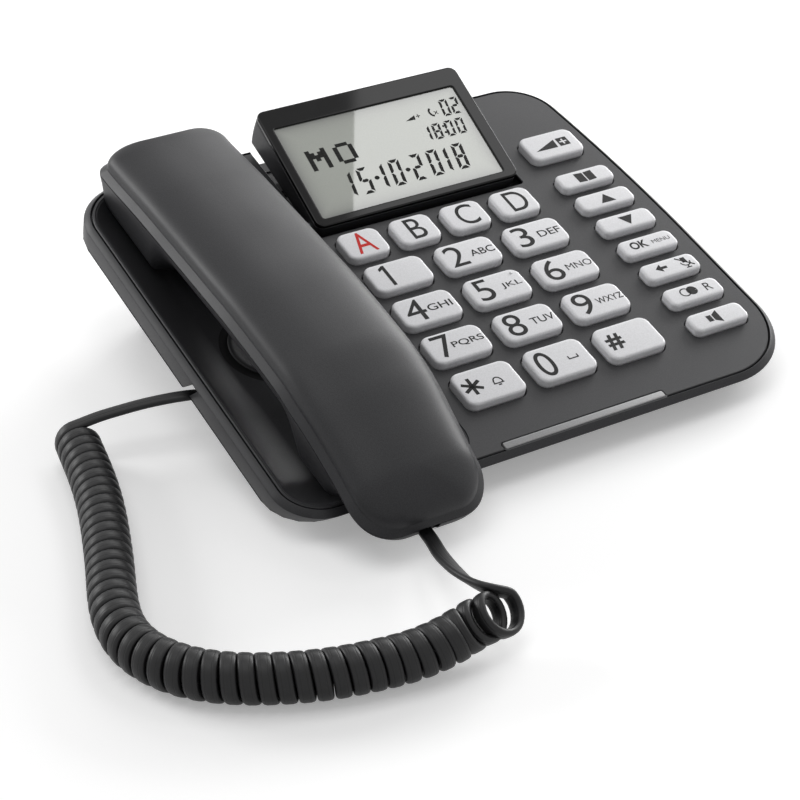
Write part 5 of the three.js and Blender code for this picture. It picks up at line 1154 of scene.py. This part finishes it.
def studio():
    """A white floor and world, lamps behind and to the right, and softer ones above and to the left.

    Rays that are seen get a whiter world and floor than those that light the object.
    """
    scene = bpy.context.scene
    scene.view_settings.view_transform = "Standard"
    world = bpy.data.worlds.new("studio")
    scene.world = world
    world.use_nodes = True
    tree = world.node_tree
    tree.nodes.clear()
    plain, white = [node(tree, "ShaderNodeBackground", Color=(1, 1, 1, 1), Strength=level)
                    for level in (WORLD_LEVEL, 1.0)]
    mix = node(tree, "ShaderNodeMixShader", i0=seen(tree), i1=plain, i2=white)
    node(tree, "ShaderNodeOutputWorld", Surface=mix)
    paper_mat, tree = new_material("studio_paper_white")
    paper = node(tree, "ShaderNodeBsdfDiffuse", Color=linear("#f6f6f6"))
    glow = node(tree, "ShaderNodeEmission", Color=(1, 1, 1, 1), Strength=FLOOR_LIFT)
    lit = node(tree, "ShaderNodeAddShader", i0=paper, i1=glow)
    both = node(tree, "ShaderNodeMixShader", i0=seen(tree), i1=paper, i2=lit)
    node(tree, "ShaderNodeOutputMaterial", Surface=both)
    corners = np.array([(-1, -1, 0), (1, -1, 0), (1, 1, 0), (-1, 1, 0)]) * FLOOR_SIZE / MM
    solid("floor", corners, [range(4)], paper_mat)
    for name, where, turn, size, watts in LAMPS:
        data = bpy.data.lights.new(name, "AREA")
        data.shape = "RECTANGLE"
        data.size, data.size_y = size
        data.energy = watts
        lamp = linked(name, data)
        lamp.location = where
        x, y, z = LAMP_AIM - np.array(where)
        lamp.rotation_euler = ((0, 0, math.radians(turn)) if turn else
                               (math.atan2(math.hypot(x, y), -z), 0, math.atan2(-x, y)))


def seen(tree):
    """1 for a ray from the camera, or from a gloss or clear surface, so that these show the white too."""
    path = node(tree, "ShaderNodeLightPath").outputs
    ray = path["Is Camera Ray"]
    for kind in ("Is Glossy Ray", "Is Transmission Ray"):
        ray = node(tree, "ShaderNodeMath", {"operation": "MAXIMUM"}, i0=ray, i1=path[kind])
    return ray


camera()
MATERIALS = {
    "body_plastic": spark_eroded_abs("abs_spark_eroded_charcoal", "#29292b", "#333335", 0.43, 0.24),
    "under_plastic": spark_eroded_abs("abs_spark_eroded_black", "#262628", "#2f2f31", 0.45, 0.24),
    # Painted shade: near-black and dull, laid in the speaker's groove and slots and the cord's well, where only
    # shade falls
    "dark": spark_eroded_abs("painted_shade_near_black", "#0a0a0b", "#101011", 0.65, 0.15),
    "key_plastic": lacquered_abs("abs_lacquered_silver_grey"),
    # Acrylic from a polished tool, printed black behind: a deep mirror gloss with slow waves 9 mm wide
    "lens_plastic": surface("acrylic_polished_black", (9, 1.0), "#0a0a0b", "#0d0d0e", (0.05, 0.08), 0.002,
                            Specular_IOR_Level=0.22),
    # Liquid crystal glass, darker towards its edge with painted shade
    "lcd_glass": liquid_crystal_panel("liquid_crystal_glass_grey"),
    # Polycarbonate light guide, frosted in its tool: pale and even, with a fine sparkle 0.35 mm wide
    "light_plastic": surface("polycarbonate_frosted", (0.35, 1.0), "#858586", "#949495", (0.3, 0.4), 0.01,
                             IOR=1.585, Subsurface_Weight=0.1, Subsurface_Radius=(0.002, 0.002, 0.002)),
    # Clear polycarbonate, polished in its tool: see-through with a blue cast and soft flow lines 3 mm wide
    "plug_plastic": surface("polycarbonate_clear", (3, 1.0), "#c9ced2", "#dce0e3", (0.06, 0.12), 0.01,
                            IOR=1.585, Transmission_Weight=0.8),
    "cord_jacket": extruded_vinyl("pvc_extruded_black"),
    # Moulded silicone rubber: matt and black, with dust lodged in a grain of 0.5 mm
    "rubber": surface("silicone_rubber_black", (0.5, 3.0), "#18181a", "#232325", (0.72, 0.85), 0.03,
                      Specular_IOR_Level=0.3),
    "board": glass_epoxy_board("glass_epoxy_green"),
    "steel": zinc_plated_steel("steel_zinc_plated"),
    "black_ink": pad_print("pad_ink_black", "#060607", "#0c0c0d"),
    "red_ink": pad_print("pad_ink_red", "#c41f1b", "#d02a24"),
    "display_ink": pad_print("liquid_crystal_dark", "#0f100e", "#171815", 0.35),
}
handset_cord(handset_plug())
base_underside()
base_wall()
top_cover()
speaker()
light_bar()
for key in key_plan():
    key_cap(key)
    print_key(key, "red_ink" if key[0] == "key_a" else "black_ink")
key_pip()
handset_lower()
handset_well()
handset_upper()
pod_housing()
pod_face()
display_figures()
for part in frame["record"]["subparts"]:
    mesh = frame["nodes"][part["node"]].data
    mesh.materials.clear()
    mesh.materials.append(MATERIALS[part["material_slot"]])
studio()
